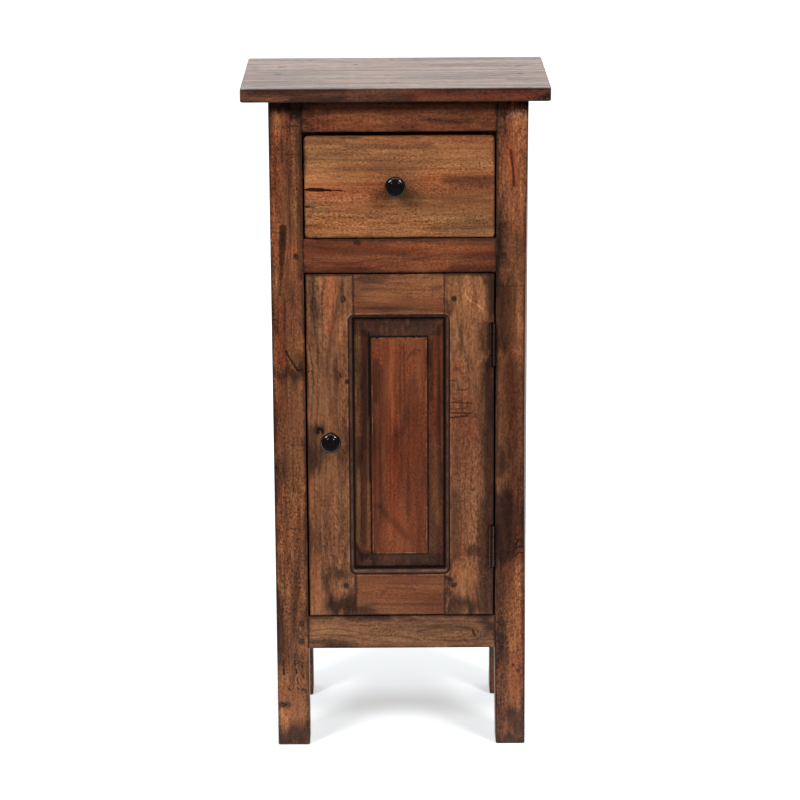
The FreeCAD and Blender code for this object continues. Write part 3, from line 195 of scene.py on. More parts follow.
def noise(tree, vector, stretch, detail=3, rough=0.55):
    """Noise whose lumps are drawn out by different scales per metre along the three axes."""
    return add_node(tree, "TexNoise", {"Vector": vectors(tree, "MULTIPLY", vector, stretch), "Scale": 1,
                                       "Detail": detail, "Roughness": rough}).outputs["Fac"]


# Stained and waxed wood with its grain along the vector's X: cloudy light and middle tones,
# reddish patches, faint year rings, dark clouds and streaks of wax, fibres, flecks and pores.
tree, given, result = new_group("Waxed Grain", {
    "Light": tone(178, 128, 84), "Middle": tone(120, 74, 48), "Red": tone(130, 64, 38),
    "Dark": tone(46, 29, 23), "Rings": 900, "Figure": 0.3, "Clouds": 0.6, "Streaks": 0.5, "Flecks": 1,
    "Seed": 0},
    {"Color": "Color", "Height": "Float", "Sheen": "Float"})
seed_shift = add_node(tree, "CombineXYZ", {0: given["Seed"], 1: given["Seed"]}).outputs[0]
moved = vectors(tree, "ADD", given["Vector"], seed_shift)
across = vectors(tree, "MULTIPLY", given["Vector"], (0, 1, 1))
radius = vectors(tree, "LENGTH", across, output="Value")
ring_at = maths(tree, "MULTIPLY_ADD", noise(tree, moved, (3.5, 14, 14), 2), 0.06, radius)
ring_wave = maths(tree, "SINE", times(tree, ring_at, given["Rings"]))
ring_fade = ramp(tree, noise(tree, moved, (9, 60, 60), 2), 0.38, 0.58, 0.3, 1)
ring_line = times(tree, ramp(tree, ring_wave, 0.6, 0.99), ring_fade)
broad = ramp(tree, noise(tree, moved, (5, 24, 24), 3), 0.33, 0.67)
medium = ramp(tree, noise(tree, moved, (14, 110, 110), 4, 0.7), 0.34, 0.66)
reddish = ramp(tree, noise(tree, moved, (6.5, 40, 33), 3), 0.46, 0.66)
clouds = ramp(tree, noise(tree, moved, (6, 38, 44), 4, 0.62), 0.53, 0.7)
streaks = ramp(tree, noise(tree, moved, (3.5, 160, 160), 5, 0.68), 0.53, 0.7)
fibre = noise(tree, moved, (55, 470, 470), 2, 0.6)
fine = noise(tree, moved, (12, 260, 260), 3, 0.65)
flecks = noise(tree, moved, (330, 560, 560), 1, 0.5)
pores = ramp(tree, noise(tree, moved, (100, 1300, 1300), 1), 0.6, 0.72)
clouded = maths(tree, "MULTIPLY_ADD", broad, 0.6, times(tree, medium, 0.4))
colour = blend(tree, clouded, given["Light"], given["Middle"])
colour = blend(tree, times(tree, reddish, 0.55), colour, given["Red"])
for pattern, share in ((ring_line, "Figure"), (clouds, "Clouds"), (streaks, "Streaks")):
    colour = blend(tree, times(tree, pattern, given[share]), colour, given["Dark"])
texture = maths(tree, "ADD", fibre, maths(tree, "MULTIPLY_ADD", fine, 0.8, -2.5))
texture = maths(tree, "MULTIPLY_ADD", flecks, 3.2, texture)
roughest = ramp(tree, noise(tree, moved, (5, 34, 34), 3), 0.4, 0.6, 0.6, 1.1)
texture = times(tree, texture, times(tree, roughest, given["Flecks"]))
fibre_tone = maths(tree, "MAXIMUM", maths(tree, "ADD", texture, 1), 0.15)
fibre_grey = add_node(tree, "CombineColor", {0: maths(tree, "POWER", fibre_tone, 0.85), 1: fibre_tone,
                                             2: maths(tree, "POWER", fibre_tone, 1.15)}).outputs[0]
colour = blend(tree, 1, colour, fibre_grey, "MULTIPLY")
tree.links.new(blend(tree, times(tree, pores, 0.45), colour, given["Dark"]), result["Color"])
relief = maths(tree, "MULTIPLY_ADD", fibre, 0.5, times(tree, fine, 0.6))
relief = maths(tree, "MULTIPLY_ADD", flecks, 0.3, relief)
tree.links.new(maths(tree, "SUBTRACT", relief, times(tree, pores, 0.6)), result["Height"])
tree.links.new(maths(tree, "MULTIPLY_ADD", fine, 0.25, 0.34), result["Sheen"])
waxed_grain = tree

# How near a point on a board is to the board's arrises: 1 on them, falling to 0 over a width.
LEAST_WIDTH = 0.0002
tree, given, result = new_group("Board Edge", {
    "Centre": (0, 0, 0), "Half": (0.1, 0.1, 0.1), "Width": 0.004, "Uneven": 1}, {"Mask": "Float"})
reach = vectors(tree, "ABSOLUTE", vectors(tree, "SUBTRACT", given["Vector"], given["Centre"]))
near = axes(tree, vectors(tree, "SUBTRACT", given["Half"], reach))
least = maths(tree, "MINIMUM", near[0], near[1])
most = maths(tree, "MAXIMUM", near[0], near[1])
to_arris = maths(tree, "MAXIMUM", least, maths(tree, "MINIMUM", most, near[2]))
lumps = maths(tree, "SUBTRACT", noise(tree, given["Vector"], (38, 38, 38), 4, 0.65), 0.5)
width_share = maths(tree, "MULTIPLY_ADD", lumps, times(tree, given["Uneven"], 6), 1)
width_here = maths(tree, "MAXIMUM", times(tree, given["Width"], width_share), LEAST_WIDTH)
tree.links.new(ramp(tree, maths(tree, "DIVIDE", to_arris, width_here), 0, 1, 1, 0), result["Mask"])
board_edge = tree

# One stroke of a mark, from a point along a straight line: Strength on the line, 0 past its rim.
# Inverse is 1 over the square of the line's length.
tree, given, result = new_group("Stroke", {
    "From": (0, 0, 0), "Along": (0, 0, 0), "Inverse": 0, "Core": 0, "Rim": 0.001, "Strength": 1},
    {"Mask": "Float"})
offset = vectors(tree, "SUBTRACT", given["Vector"], given["From"])
dot = vectors(tree, "DOT_PRODUCT", offset, given["Along"], output="Value")
share = maths(tree, "MULTIPLY", dot, given["Inverse"], clamp=True)
foot = add_node(tree, "VectorMath", {0: given["Along"], "Scale": share}, operation="SCALE").outputs[0]
aside = vectors(tree, "DISTANCE", offset, foot, output="Value")
tree.links.new(ramp(tree, aside, given["Core"], given["Rim"], given["Strength"], 0), result["Mask"])
stroke = tree

# A place pushed about by noise drawn out along the grain, so that what is drawn with it gets a
# ragged rim that follows the fibres.
tree, given, result = new_group("Ragged Place", {
    "Grain": (0, 0, 0), "Stretch": (16, 110, 110), "Reach": (0.01, 0.01, 0.01)}, {"Vector": "Vector"})
cloud = add_node(tree, "TexNoise", {"Vector": vectors(tree, "MULTIPLY", given["Grain"], given["Stretch"]),
                                    "Scale": 1, "Detail": 4, "Roughness": 0.6}).outputs["Color"]
push = vectors(tree, "MULTIPLY", vectors(tree, "SUBTRACT", cloud, (0.5, 0.5, 0.5)), given["Reach"])
tree.links.new(vectors(tree, "ADD", given["Vector"], push), result["Vector"])
ragged_place = tree

TURN = {"X": (0, 0, 0), "Y": (0, 0, radians(90)), "Z": (0, radians(90), 0)}
EDGE_STAIN_AND_SHADE = tone(33, 22, 18)

# What each kind of mark does to the wood's colour, and how soft its rim is.
MARK_KINDS = {
    # A shade mark is soft and the grain doesn't break it up. Where it runs just under the top, it is painted
    # shadow of the top's overhang.
    "dark": ((0.25, 0.26, 0.33, 1), 0.8), "shade": ((0.2, 0.19, 0.23, 1), 0.65),
    "red": ((1.22, 0.84, 0.7, 1), 0.9), "gold": ((1.55, 1.48, 1.35, 1), 0.9),
    "olive": ((1.12, 1.55, 1.5, 1), 0.8), "black": ((0.07, 0.06, 0.06, 1), 0.45),
    "crack": ((0.05, 0.04, 0.04, 1), 0.2), "ring": ((0.14, 0.12, 0.13, 1), 0.35),
    "slot": ((0.24, 0.2, 0.22, 1), 0.2), "specks": ((0.1, 0.08, 0.08, 1), 0.8),
    "pale": ((2.3, 2.6, 2.9, 1), 0.45)}
# Broad soft marks have the first of these rims and thin ones the second: the stretch of its noise
# along and across the grain, and how far it wanders, in metres. Crisp marks have a clean rim.
RAGGED_RIMS = (((16, 120, 120), 0.045), ((90, 190, 190), 0.006))
DRAWN_OUT = {"X": (1, 0.18, 0.18), "Y": (0.18, 1, 0.18), "Z": (0.18, 0.18, 1)}
SOFT, CRISP = 0.5, 0.25
# Marks are measured in millimetres: how wide a thin one is, where the carcass's front lies on Y,
# and how many make a metre.
THIN, CARCASS_FRONT, METRE = 4, -92, 1000


def stroke_masks(tree, places, strength, reach, soft, points):
    """One mask for each stretch of a mark. Places are for broad soft marks, thin ones and crisp ones."""
    vector = places[0] if reach > THIN and soft > SOFT else places[1] if soft > CRISP else places[2]
    for start, end in zip(points, points[1:] or points):
        start, end = Vector(start) / METRE, Vector(end) / METRE
        along = end - start
        inverse = 1 / along.length_squared if along.length else 0
        yield use_group(tree, stroke, vector, From=start, Along=along, Inverse=inverse, Strength=strength,
                        Core=reach * (1 - soft) / METRE, Rim=reach * (1 + soft) / METRE)["Mask"]


def draw_marks(tree, place, turned, grain, colour, relief, marks, flat):
    """Lay the marks over a colour, kind by kind. Each mark is (strength, radius, point, ...) in
    millimetres, and flat turns one of its points into a place in space."""
    places = [use_group(tree, ragged_place, place, Grain=turned, Stretch=stretch,
                        Reach=Vector(DRAWN_OUT[grain]) * reach)["Vector"] for stretch, reach in RAGGED_RIMS]
    places.append(place)
    broken = maths(tree, "MULTIPLY_ADD", relief, 1.3, 0.3)
    worm = add_node(tree, "TexVoronoi", {"Vector": place, "Scale": 330}).outputs["Distance"]
    dots = ramp(tree, worm, 0.2, 0.36, 1, 0)
    for kind, (shade, soft) in MARK_KINDS.items():
        total = None
        for strength, reach, *points in marks.get(kind, ()):
            for mask in stroke_masks(tree, places, strength, reach, soft, [flat(*point) for point in points]):
                total = maths(tree, "MAXIMUM", total, mask) if total else mask
        if total:
            if kind == "specks":
                total = times(tree, total, dots)
            elif soft > SOFT and kind != "shade":
                total = maths(tree, "MULTIPLY", total, broken, clamp=True)
            colour = blend(tree, total, colour, shade, "MULTIPLY")
    return colour


def on_front(x, z):
    """A point of a mark on the carcass's front, from its X and Z."""
    return x, CARCASS_FRONT, z


def bumpy_surface(tree, height, strength, depth, inputs):
    """The material's own surface, with bumps up to a depth in metres."""
    bump = add_node(tree, "Bump", {"Strength": strength, "Distance": depth, "Height": height})
    surface = add_node(tree, "BsdfPrincipled", {**inputs, "Normal": bump.outputs[0]})
    add_node(tree, "OutputMaterial", {"Surface": surface.outputs[0]})


def waxed_wood(name, grain, tones, pith=(0, 0, 0), rings=900, figure=0.3, clouds=0.7, streaks=0.5, flecks=1,
               seed=0, board=None, edge=0.004, edge_share=0.75, worn=0, marks=None, flat=on_front,
               pressed=(1, 1, 1), extra=None, gloss=0, shine=0.25):
    """Waxed hardwood with its grain along an axis. tones are its light, middle, red and dark. board is
    the middle and half size of what shows. flat gives the place of a mark's point, an axis that is 0 in
    pressed doesn't count in it, and extra adds to the colour before the marks."""
    material, tree, place = new_material(name)
    turned = add_node(tree, "Mapping", {"Vector": vectors(tree, "SUBTRACT", place, pith),
                                        "Rotation": TURN[grain]}).outputs[0]
    light, middle, red, dark = (tone(*paint) for paint in tones)
    wood = use_group(tree, waxed_grain, turned, Light=light, Middle=middle, Red=red, Dark=dark, Rings=rings,
                     Figure=figure, Clouds=clouds, Streaks=streaks, Flecks=flecks, Seed=seed)
    colour = wood["Color"]
    if extra:
        colour = extra(tree, place, colour)
    if marks:
        colour = draw_marks(tree, vectors(tree, "MULTIPLY", place, pressed), turned, grain, colour,
                            wood["Height"], marks, flat)
    if board:
        centre, half = board
        wide = use_group(tree, board_edge, place, Centre=centre, Half=half, Width=edge, Uneven=1)["Mask"]
        # Darker towards the board's arrises. This is dark wax, and on the side and back boards, with their
        # wide band, it is partly painted shade where they sit back in the frame.
        colour = blend(tree, times(tree, wide, edge_share), colour, EDGE_STAIN_AND_SHADE)
        if worn:
            thin = use_group(tree, board_edge, place, Centre=centre, Half=half, Width=0.0016, Uneven=0.9)
            rubbed = ramp(tree, noise(tree, place, (30, 30, 30), 4, 0.7), 0.48, 0.6)
            colour = blend(tree, times(tree, thin["Mask"], times(tree, rubbed, worn)), colour, light)
    bumpy_surface(tree, wood["Height"], 0.55, 0.0005, {
        "Base Color": colour, "Roughness": maths(tree, "SUBTRACT", wood["Sheen"], gloss),
        "Specular IOR Level": shine})
    return material


def finish_with(material, *names):
    """Give CAD nodes a material in place of their plain one."""
    for label in names:
        for slot in nodes[label].material_slots:
            slot.material = material


LEG_BROWNS = ((166, 105, 65), (105, 60, 39), (118, 57, 35), (41, 27, 24))
LEG_MARKS = {"leg_front_left": {
    "black": [(0.9, 1.1, (-137.5, 108), (-137.3, 101)), (1, 1.3, (-137.3, 98), (-137.2, 90)),
        (0.8, 0.8, (-124.4, 117), (-124, 111)), (0.9, 1, (-123.9, 107), (-123.6, 101)),
        (0.9, 1.1, (-122.6, 96), (-121.8, 91)), (0.8, 0.9, (-121.2, 85), (-120.4, 79)),
        (0.8, 0.8, (-115.6, 104), (-115.2, 99)), (0.8, 0.8, (-113.8, 90), (-113, 84)),
        (0.8, 1.1, (-120.6, 73.4), (-120.2, 72.4)), (0.5, 0.9, (-130, 753), (-111, 754)),
        (0.45, 0.8, (-129, 721), (-107, 721)), (0.9, 1.3, (-129, 489), (-116, 467), (-107, 467)),
        (0.45, 0.8, (-126, 376), (-108, 376)), (0.45, 0.8, (-127, 273), (-110, 273)),
        (0.8, 1, (-140, 54), (-134, 52), (-139, 49))],
    "dark": [(0.8, 1.5, (-131.6, 72.5), (-130.4, 71)), (0.8, 2.2, (-115.2, 71), (-112, 70)),
        (0.7, 1.5, (-130, 738), (-130, 713)), (0.6, 4.5, (-107, 770), (-109, 580)),
        (0.3, 15, (-126, 455), (-126, 330)), (0.6, 1.2, (-129, 551), (-130, 513)),
        (0.55, 6, (-114, 481), (-112, 472)), (0.6, 5, (-121, 460), (-121, 445)),
        (0.5, 2.3, (-123, 445), (-124, 394)), (0.6, 1.4, (-122, 385), (-123, 321)),
        (0.55, 6, (-142, 185), (-140, 121)), (0.8, 4, (-141, 52), (-133, 52))],
    # The shade stroke along z 788 is painted shadow under the top's overhang.
    "shade": [(1, 8, (-148, 788), (-104, 788)), (1, 8, (-134, 780), (-110, 772)),
        (0.35, 14, (-130, 560), (-128, 470)), (0.75, 8, (-140, 462), (-112, 463)),
        (1, 17, (-140, 2), (-112, 12)), (0.7, 9, (-114, 24)), (0.45, 7, (-142, 190), (-141, 110))],
    # The gold stroke from (-131, 491) to (-119, 469) is a painted highlight along the upper lip of the crack
    # beside it.
    "gold": [(0.5, 6, (-137, 767), (-137, 740)), (0.4, 1.4, (-131, 491), (-119, 469)),
        (0.55, 5, (-136, 37)), (0.35, 14, (-126, 320), (-127, 200))],
    "pale": [(0.8, 1.2, (-135, 704))],
    "slot": [(0.95, 4, (-130, 636), (-131, 612)), (0.9, 3.2, (-131, 612), (-132, 594)),
        (0.85, 2.2, (-132, 594), (-133.5, 576)), (0.8, 1.2, (-133.5, 576), (-135, 556))],
    "red": [(0.5, 7, (-121, 611)), (0.6, 6, (-135, 547), (-135, 483)), (0.5, 6, (-139, 745), (-141, 600))],
    "specks": [(0.9, 5, (-134, 112), (-131, 88)), (0.95, 6, (-117, 110), (-116, 74)),
        (0.7, 4, (-130, 74), (-120, 66))]
}, "leg_front_right": {
    "black": [(0.8, 1, (138.6, 251), (143, 257.5), (148, 256.3)),
        (0.8, 1, (137.4, 245), (142, 250), (148, 249)),
        (0.75, 0.9, (138.6, 237.7), (143.3, 242.7), (148, 241.4)), (0.4, 0.8, (116, 566), (150, 566)),
        (0.85, 1.7, (137, 100))],
    "red": [(0.9, 5, (145, 236)), (0.6, 6, (131, 723), (135, 685)), (0.6, 3.5, (143, 233))],
    # The shade stroke from (112, 787) to (156, 787) is painted shadow under the top's overhang.
    "shade": [(0.75, 2.4, (152.6, 784), (150.8, 677), (149.7, 583), (148.9, 488), (148.9, 400),
        (149.2, 330), (150.2, 194), (151.3, 60), (151.2, 0)), (1, 8, (112, 787), (156, 787)),
        (0.7, 7, (118, 776), (119, 750)), (0.85, 11, (124, 568), (124, 498)),
        (1, 17, (125, 306), (124, 240)), (0.7, 8, (121, 232), (120, 110)), (0.4, 8, (148, 330), (146, 290)),
        (0.8, 9, (136, 38), (146, 16)), (0.8, 8, (118, 0), (150, 2)), (0.45, 12, (128, 470), (128, 350))],
    "gold": [(0.8, 12, (138, 764), (140, 639)), (0.6, 1.2, (128, 405), (132, 383)),
        (0.6, 1.2, (137, 404), (132, 383)), (0.8, 9, (143, 215), (141, 60)),
        (0.5, 1.2, (139, 256), (146, 250), (147, 243))],
    "dark": [(0.3, 14, (136, 470), (134, 330)), (0.95, 1.5, (131, 724), (134, 702), (135, 684)),
        (0.7, 6, (122, 633), (122, 595)), (0.65, 7, (122, 364), (122, 342)), (0.8, 2.8, (143, 94))],
    "specks": [(0.8, 4, (119, 160), (119, 96))],
    "pale": [(0.8, 1.2, (144, 673)), (0.8, 1.2, (149, 661)), (0.25, 0.8, (117, 322), (145, 322)),
        (0.6, 1, (117, 180), (118, 111))]
}}
PEG_HEIGHTS = (131.5, 154.5, 602, 765.2)
for label, x in (("leg_front_left", -115.5), ("leg_front_right", 123.5)):
    LEG_MARKS[label]["ring"] = [(0.9, 3.4, (x, z)) for z in PEG_HEIGHTS]
LEG_HEIGHT, LEG_HALF_WIDTH = 0.784, 0.019
for label, x, y in (("leg_front_left", -0.126, -0.073), ("leg_front_right", 0.134, -0.073),
                    ("leg_back_left", -0.126, 0.094), ("leg_back_right", 0.134, 0.094)):
    leg_board = ((x, y, LEG_HEIGHT / 2), (LEG_HALF_WIDTH, LEG_HALF_WIDTH, LEG_HEIGHT / 2))
    leg_wood = waxed_wood(label + "_wood", "Z", LEG_BROWNS, pith=(x + 0.01, y + 0.03, 0), rings=1100,
                          seed=x * 37 + y * 11, board=leg_board, streaks=0.6, flecks=0.9, edge=0.005,
                          worn=0.35, marks=LEG_MARKS.get(label))
    finish_with(leg_wood, label)

# The right front leg has been planed and rubbed hollow down its outer front corner, most near half
# height and not at all where the side rails join it. Its foot is worn on both sides. The planing
# takes in SIDE_REACH of the leg's width, its inner edge fading over SIDE_FADE, all in metres.
SLICES = 24
OUTER_SIDE, INNER_SIDE, LEG_FRONT, LEG_BACK = 0.153, 0.115, -0.092, -0.054
HOLLOW, HOLLOW_MIDDLE, HOLLOW_HALF_LENGTH = 0.0041, 0.44, 0.43
FOOT_WEAR, FOOT_HEIGHT = 0.0016, 0.12
ARRIS, SIDE_REACH, SIDE_FADE = 0.002, 0.006, 0.004
hollow_leg = bpy.data.objects.new("leg_front_right_hollowed", nodes["leg_front_right"].data.copy())
bpy.context.scene.collection.objects.link(hollow_leg)
bpy.ops.object.select_all(action="DESELECT")
bpy.context.view_layer.objects.active = hollow_leg
hollow_leg.select_set(True)
bpy.ops.object.mode_set(mode="EDIT")
bpy.ops.mesh.select_all(action="SELECT")
bpy.ops.mesh.remove_doubles(threshold=0.00001)
for step in range(1, SLICES):
    bpy.ops.mesh.select_all(action="SELECT")
    bpy.ops.mesh.bisect(plane_co=(0, 0, LEG_HEIGHT * step / SLICES), plane_no=(0, 0, 1))
bpy.ops.object.mode_set(mode="OBJECT")
for corner in hollow_leg.data.vertices:
    height = corner.co.z
    foot = max(1 - height / FOOT_HEIGHT, 0)
    planed = HOLLOW * max(1 - ((height - HOLLOW_MIDDLE) / HOLLOW_HALF_LENGTH) ** 2, 0) + FOOT_WEAR * foot
    planed *= min((LEG_BACK - corner.co.y) / (LEG_BACK - LEG_FRONT - ARRIS), 1)
    if corner.co.x > OUTER_SIDE - SIDE_REACH:
        corner.co.x -= planed * min((corner.co.x - OUTER_SIDE + SIDE_REACH) / SIDE_FADE, 1)
    elif corner.co.x < INNER_SIDE + ARRIS:
        corner.co.x += FOOT_WEAR * foot
bpy.ops.object.shade_smooth_by_angle(angle=radians(35))
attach(hollow_leg, "carcass")
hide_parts("leg_front_right")

# ------------------ rails
# Front, side and back rails tenoned into the legs, with the grain along each rail.
RAIL_REDS = ((144, 82, 49), (98, 51, 30), (120, 52, 28), (40, 24, 19))
BOTTOM_RAIL_TANS = ((156, 107, 72), (112, 73, 48), (116, 68, 44), (44, 28, 21))
RAIL_MARKS = {"top": {
    # This shade stroke along the rail's upper edge is painted shadow under the top's overhang.
    "shade": [(1, 7, (-110, 786), (118, 786))],
    "dark": [(0.4, 0.9, (-88, 770), (-88, 752)), (0.4, 0.9, (-82, 772), (-83, 750)),
        (0.4, 0.9, (-77, 772), (-77, 750)), (0.4, 0.9, (-71, 770), (-71, 751)),
        (0.6, 5, (-103, 772), (-100, 752))],
    "gold": [(0.4, 7, (-70, 762), (-20, 761))],
    "black": [(0.85, 1.2, (8, 752)), (0.85, 1.2, (19, 752))]
}, "middle": {
    "black": [(0.7, 2.8, (-47, 619), (-43, 617))],
    "shade": [(0.6, 6, (64, 587), (113, 586))],
    "gold": [(0.4, 5, (-10, 614), (100, 608))],
    "dark": [(0.4, 2.5, (-60, 604), (10, 606))]
}, "bottom": {
    "specks": [(0.95, 6, (-34, 148), (0, 143)), (0.7, 4, (-4, 146), (6, 138)),
        (0.7, 5, (20, 138), (60, 134))],
    "black": [(0.9, 1.6, (89, 144), (91, 139)), (0.8, 1.1, (95, 143))],
    "shade": [(0.8, 6, (-60, 162), (-12, 163)), (0.7, 8, (-82, 128), (-58, 124)),
        (0.7, 8, (100, 160), (112, 150))],
    "dark": [(0.45, 0.9, (-107, 145), (-84, 148), (-66, 147), (-44, 142), (-24, 139), (2, 138), (24, 134)),
        (0.4, 0.9, (-107, 139), (-84, 141), (-60, 139), (-36, 133), (-10, 131)),
        (0.35, 0.8, (-70, 153), (-30, 152)), (0.45, 0.9, (24, 144), (46, 149), (74, 149), (92, 146),
        (103, 140), (92, 133), (60, 132), (30, 134)),
        (0.4, 0.8, (40, 139), (60, 142), (84, 140), (70, 136), (48, 136)),
        (0.5, 5, (104, 158), (106, 140))],
    "gold": [(0.4, 7, (-104, 150), (-84, 140))]
}}
RAIL_X, RAIL_Y, RAIL_HALF_LENGTH, RAIL_HALF_DEPTH = 0.004, -0.077, 0.111, 0.015
FRONT_RAILS = (("bottom", 0.143, 0.02, BOTTOM_RAIL_TANS, 700, 0.2, 0.55),
               ("middle", 0.602, 0.02, RAIL_REDS, 700, 0.3, 0.7),
               ("top", 0.76525, 0.01875, RAIL_REDS, 900, 0.25, 0.9))
for label, z, half_height, tones, rings, figure, flecks in FRONT_RAILS:
    rail_board = ((RAIL_X, RAIL_Y, z), (RAIL_HALF_LENGTH, RAIL_HALF_DEPTH, half_height))
    rail_wood = waxed_wood(f"front_rail_{label}_wood", "X", tones, pith=(0, -0.06, z - 0.03), seed=z * 17,
                           rings=rings, figure=figure, flecks=flecks, streaks=0.35, board=rail_board,
                           edge=0.0035, marks=RAIL_MARKS[label])
    finish_with(rail_wood, f"front_rail_{label}")
side_rail_wood = waxed_wood("side_rail_wood", "Y", RAIL_REDS, pith=(0.02, 0, 0.1), seed=3.1)
finish_with(side_rail_wood, "side_rail_top_left", "side_rail_top_right", "side_rail_bottom_left",
            "side_rail_bottom_right")
back_rail_wood = waxed_wood("back_rail_wood", "X", RAIL_REDS, pith=(0, 0.15, 0.1), seed=5.3)
finish_with(back_rail_wood, "back_rail_top", "back_rail_bottom")

# ------------------ side panels and back boards
# Thin upright boards, held by their rims in the grooves of the legs and rails. The back ones lap.
BOARD_BROWNS = ((150, 94, 58), (106, 62, 40), (122, 60, 36), (44, 28, 22))
BOARD_MARKS = {"side_panel_left": {
    "black": [(0.9, 3.5, (-12, 604), (-11, 610)), (0.8, 1.4, (0, 170))],
    "dark": [(0.6, 9, (-12, 590), (-12, 628)), (0.5, 1.2, (36, 745), (34, 560), (37, 470))],
    "shade": [(0.7, 16, (20, 745), (60, 738)), (0.7, 18, (-40, 166), (30, 170))],
    "gold": [(0.5, 12, (-30, 480), (-28, 320))],
    "specks": [(0.9, 9, (46, 300), (44, 250))],
    "red": [(0.5, 12, (30, 440), (28, 300))]
}, "side_panel_right": {
    "black": [(0.9, 4, (34, 330), (35, 336)), (0.6, 0.9, (-30, 746), (-28, 640))],
    "dark": [(0.6, 10, (34, 316), (35, 354))],
    "shade": [(0.7, 16, (-50, 742), (10, 746)), (0.7, 18, (0, 164), (60, 172))],
    "gold": [(0.5, 12, (0, 620), (-4, 480))],
    "specks": [(0.9, 9, (-34, 420), (-30, 380))],
    "red": [(0.5, 12, (-30, 300), (-26, 220))]
}, "back_board_left": {
    "black": [(0.9, 3.6, (-62, 420), (-61, 426)), (0.8, 1.4, (-80, 170), (-80.4, 170)),
        (0.8, 1.4, (-24, 172))],
    "dark": [(0.6, 9, (-62, 406), (-61, 440)), (0.5, 1.2, (-30, 745), (-34, 600))],
    "shade": [(0.7, 18, (-100, 742), (-40, 746))],
    "gold": [(0.4, 14, (-80, 330), (-78, 240))]
}, "back_board_right": {
    "black": [(0.8, 3, (80, 610), (81, 614)), (0.8, 1.4, (30, 735)), (0.8, 1.4, (96, 738))],
    "dark": [(0.6, 8, (80, 598), (81, 628)), (0.5, 1.2, (40, 300), (44, 164))],
    "shade": [(0.7, 18, (30, 166), (100, 172))],
    "gold": [(0.4, 14, (60, 520), (62, 420))]
}}
LEFT_FACE, RIGHT_FACE, BACK_FACE = -135, 143, 105
BOARD_FACES = {"side_panel_left": lambda along, z: (LEFT_FACE, along, z),
               "side_panel_right": lambda along, z: (RIGHT_FACE, along, z),
               "back_board_left": lambda along, z: (along, BACK_FACE, z),
               "back_board_right": lambda along, z: (along, BACK_FACE, z)}
IN_GROOVES = Vector((0, 0, 0.008))
# Each board's wide dark rim band is partly dark wax and partly painted shade where the board sits back in the
# frame.
for seed, (label, board_marks) in enumerate(BOARD_MARKS.items()):
    low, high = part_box(label)
    middle, half = (low + high) / 2, (high - low) / 2
    board_wood = waxed_wood(label + "_wood", "Z", BOARD_BROWNS, pith=middle * Vector((0.8, 0.8, 0)),
                            rings=500, figure=0.4, seed=7.7 + seed, board=(middle, half - IN_GROOVES),
                            edge=0.014, edge_share=0.6, flecks=0.65, marks=board_marks,
                            flat=BOARD_FACES[label])
    finish_with(board_wood, label)

# ------------------ inside of the cupboard
# Floor, shelf, cleats, runners and kickers of the same hardwood, left unwaxed. The floor and shelf
# run across the table and the strips from front to back.
INSIDE_TANS = ((186, 142, 102), (150, 106, 72), (150, 92, 60), (88, 60, 44))
UNWAXED = {"rings": 600, "figure": 0.5, "clouds": 0.2, "streaks": 0.2, "flecks": 0.5}
inside_wood = waxed_wood("inside_wood", "X", INSIDE_TANS, pith=(0, 0.1, 0.2), seed=9.1, **UNWAXED)
strip_wood = waxed_wood("strip_wood", "Y", INSIDE_TANS, pith=(0.1, 0, 0.2), seed=4.4, **UNWAXED)
finish_with(inside_wood, "cabinet_floor", "shelf")
finish_with(strip_wood, "drawer_runner_left", "drawer_runner_right", "drawer_kicker_left",
            "drawer_kicker_right", "shelf_cleat_left", "shelf_cleat_right")

# ------------------ top
# Three boards glued edge to edge and nailed down, with a soft eased edge. The upper face is paler and greyer,
# partly greyed by use and partly a painted sheen.
TOP_BROWNS = ((132, 80, 48), (80, 43, 27), (104, 48, 26), (32, 20, 16))
GREY_TOP_AND_SHEEN = tone(136, 120, 112)
TOP_BOX = ((0, 0.003, 0.792), (0.176, 0.115, 0.008))
UPPER_FACE, GREYING_START = 0.8, 0.7985
# The two faces that carry marks, in millimetres.
TOP_FRONT, TOP_UPPER = -112, 800
TOP_MARKS = {"front": {
    "dark": [(0.85, 6.5, (168, 788), (174, 788)), (0.7, 2.5, (130, -55), (171, -60)),
        (0.5, 1.8, (20, -56), (100, -52)), (0.5, 2, (-165, -63), (-140, -62)),
        (0.7, 1.6, (-40, -46.3), (176, -46.3))],
    "pale": [(0.4, 0.9, (164, 794), (165, 785))],
    "slot": [(0.75, 1.2, (-176, 798.4), (176, 798.4))],
    "shade": [(0.75, 4.5, (-120, 788), (-60, 787)), (0.5, 4, (-165, 797), (-60, 798)),
        (0.45, 4, (-30, 789), (20, 788)), (0.4, 4, (60, 797), (150, 797)),
        (0.4, 3, (-160, -90), (-120, -86))],
    "red": [(0.5, 8, (20, 790), (150, 790))],
    "gold": [(0.45, 4.5, (-172, 790), (-136, 789)), (0.5, 2, (-80, 794), (-40, 794))],
    "black": [(0.7, 1.6, (-20, -78), (-12, -78)), (0.9, 2.4, (-4, -73), (-1, -73)),
        (0.7, 1.2, (-176, -46.3), (-40, -46.3))]
}, "middle": {
    "dark": [(0.6, 1.8, (98, -36), (139, -8)), (0.5, 1.6, (0, -32), (86, -28)),
        (0.7, 1.6, (60, 19.6), (176, 19.6)), (0.6, 1.8, (-160, 4), (-110, 8), (-60, 7))],
    "black": [(0.7, 2.2, (-67, -37), (-60, -36)), (0.9, 3, (-139, -9), (-134, -9)),
        (0.9, 2.6, (143, -12), (146, -12)), (0.7, 1.2, (-176, 19.6), (60, 19.6))]
}, "back": {
    "dark": [(0.6, 1.8, (-111, 54), (-90, 54)), (0.5, 1.6, (60, 48), (160, 49)),
        (0.6, 1.6, (-75, 88), (-60, 88))],
    "black": [(0.9, 3, (-136, 47), (-131, 47)), (0.85, 2.6, (144, 45), (148, 45)),
        (0.8, 2.4, (24, 104), (27, 104)), (0.8, 2.2, (44, 60)), (0.85, 2.4, (-48, 63), (-45, 63)),
        (0.8, 2.2, (-103, 96), (-100, 96))]
}}


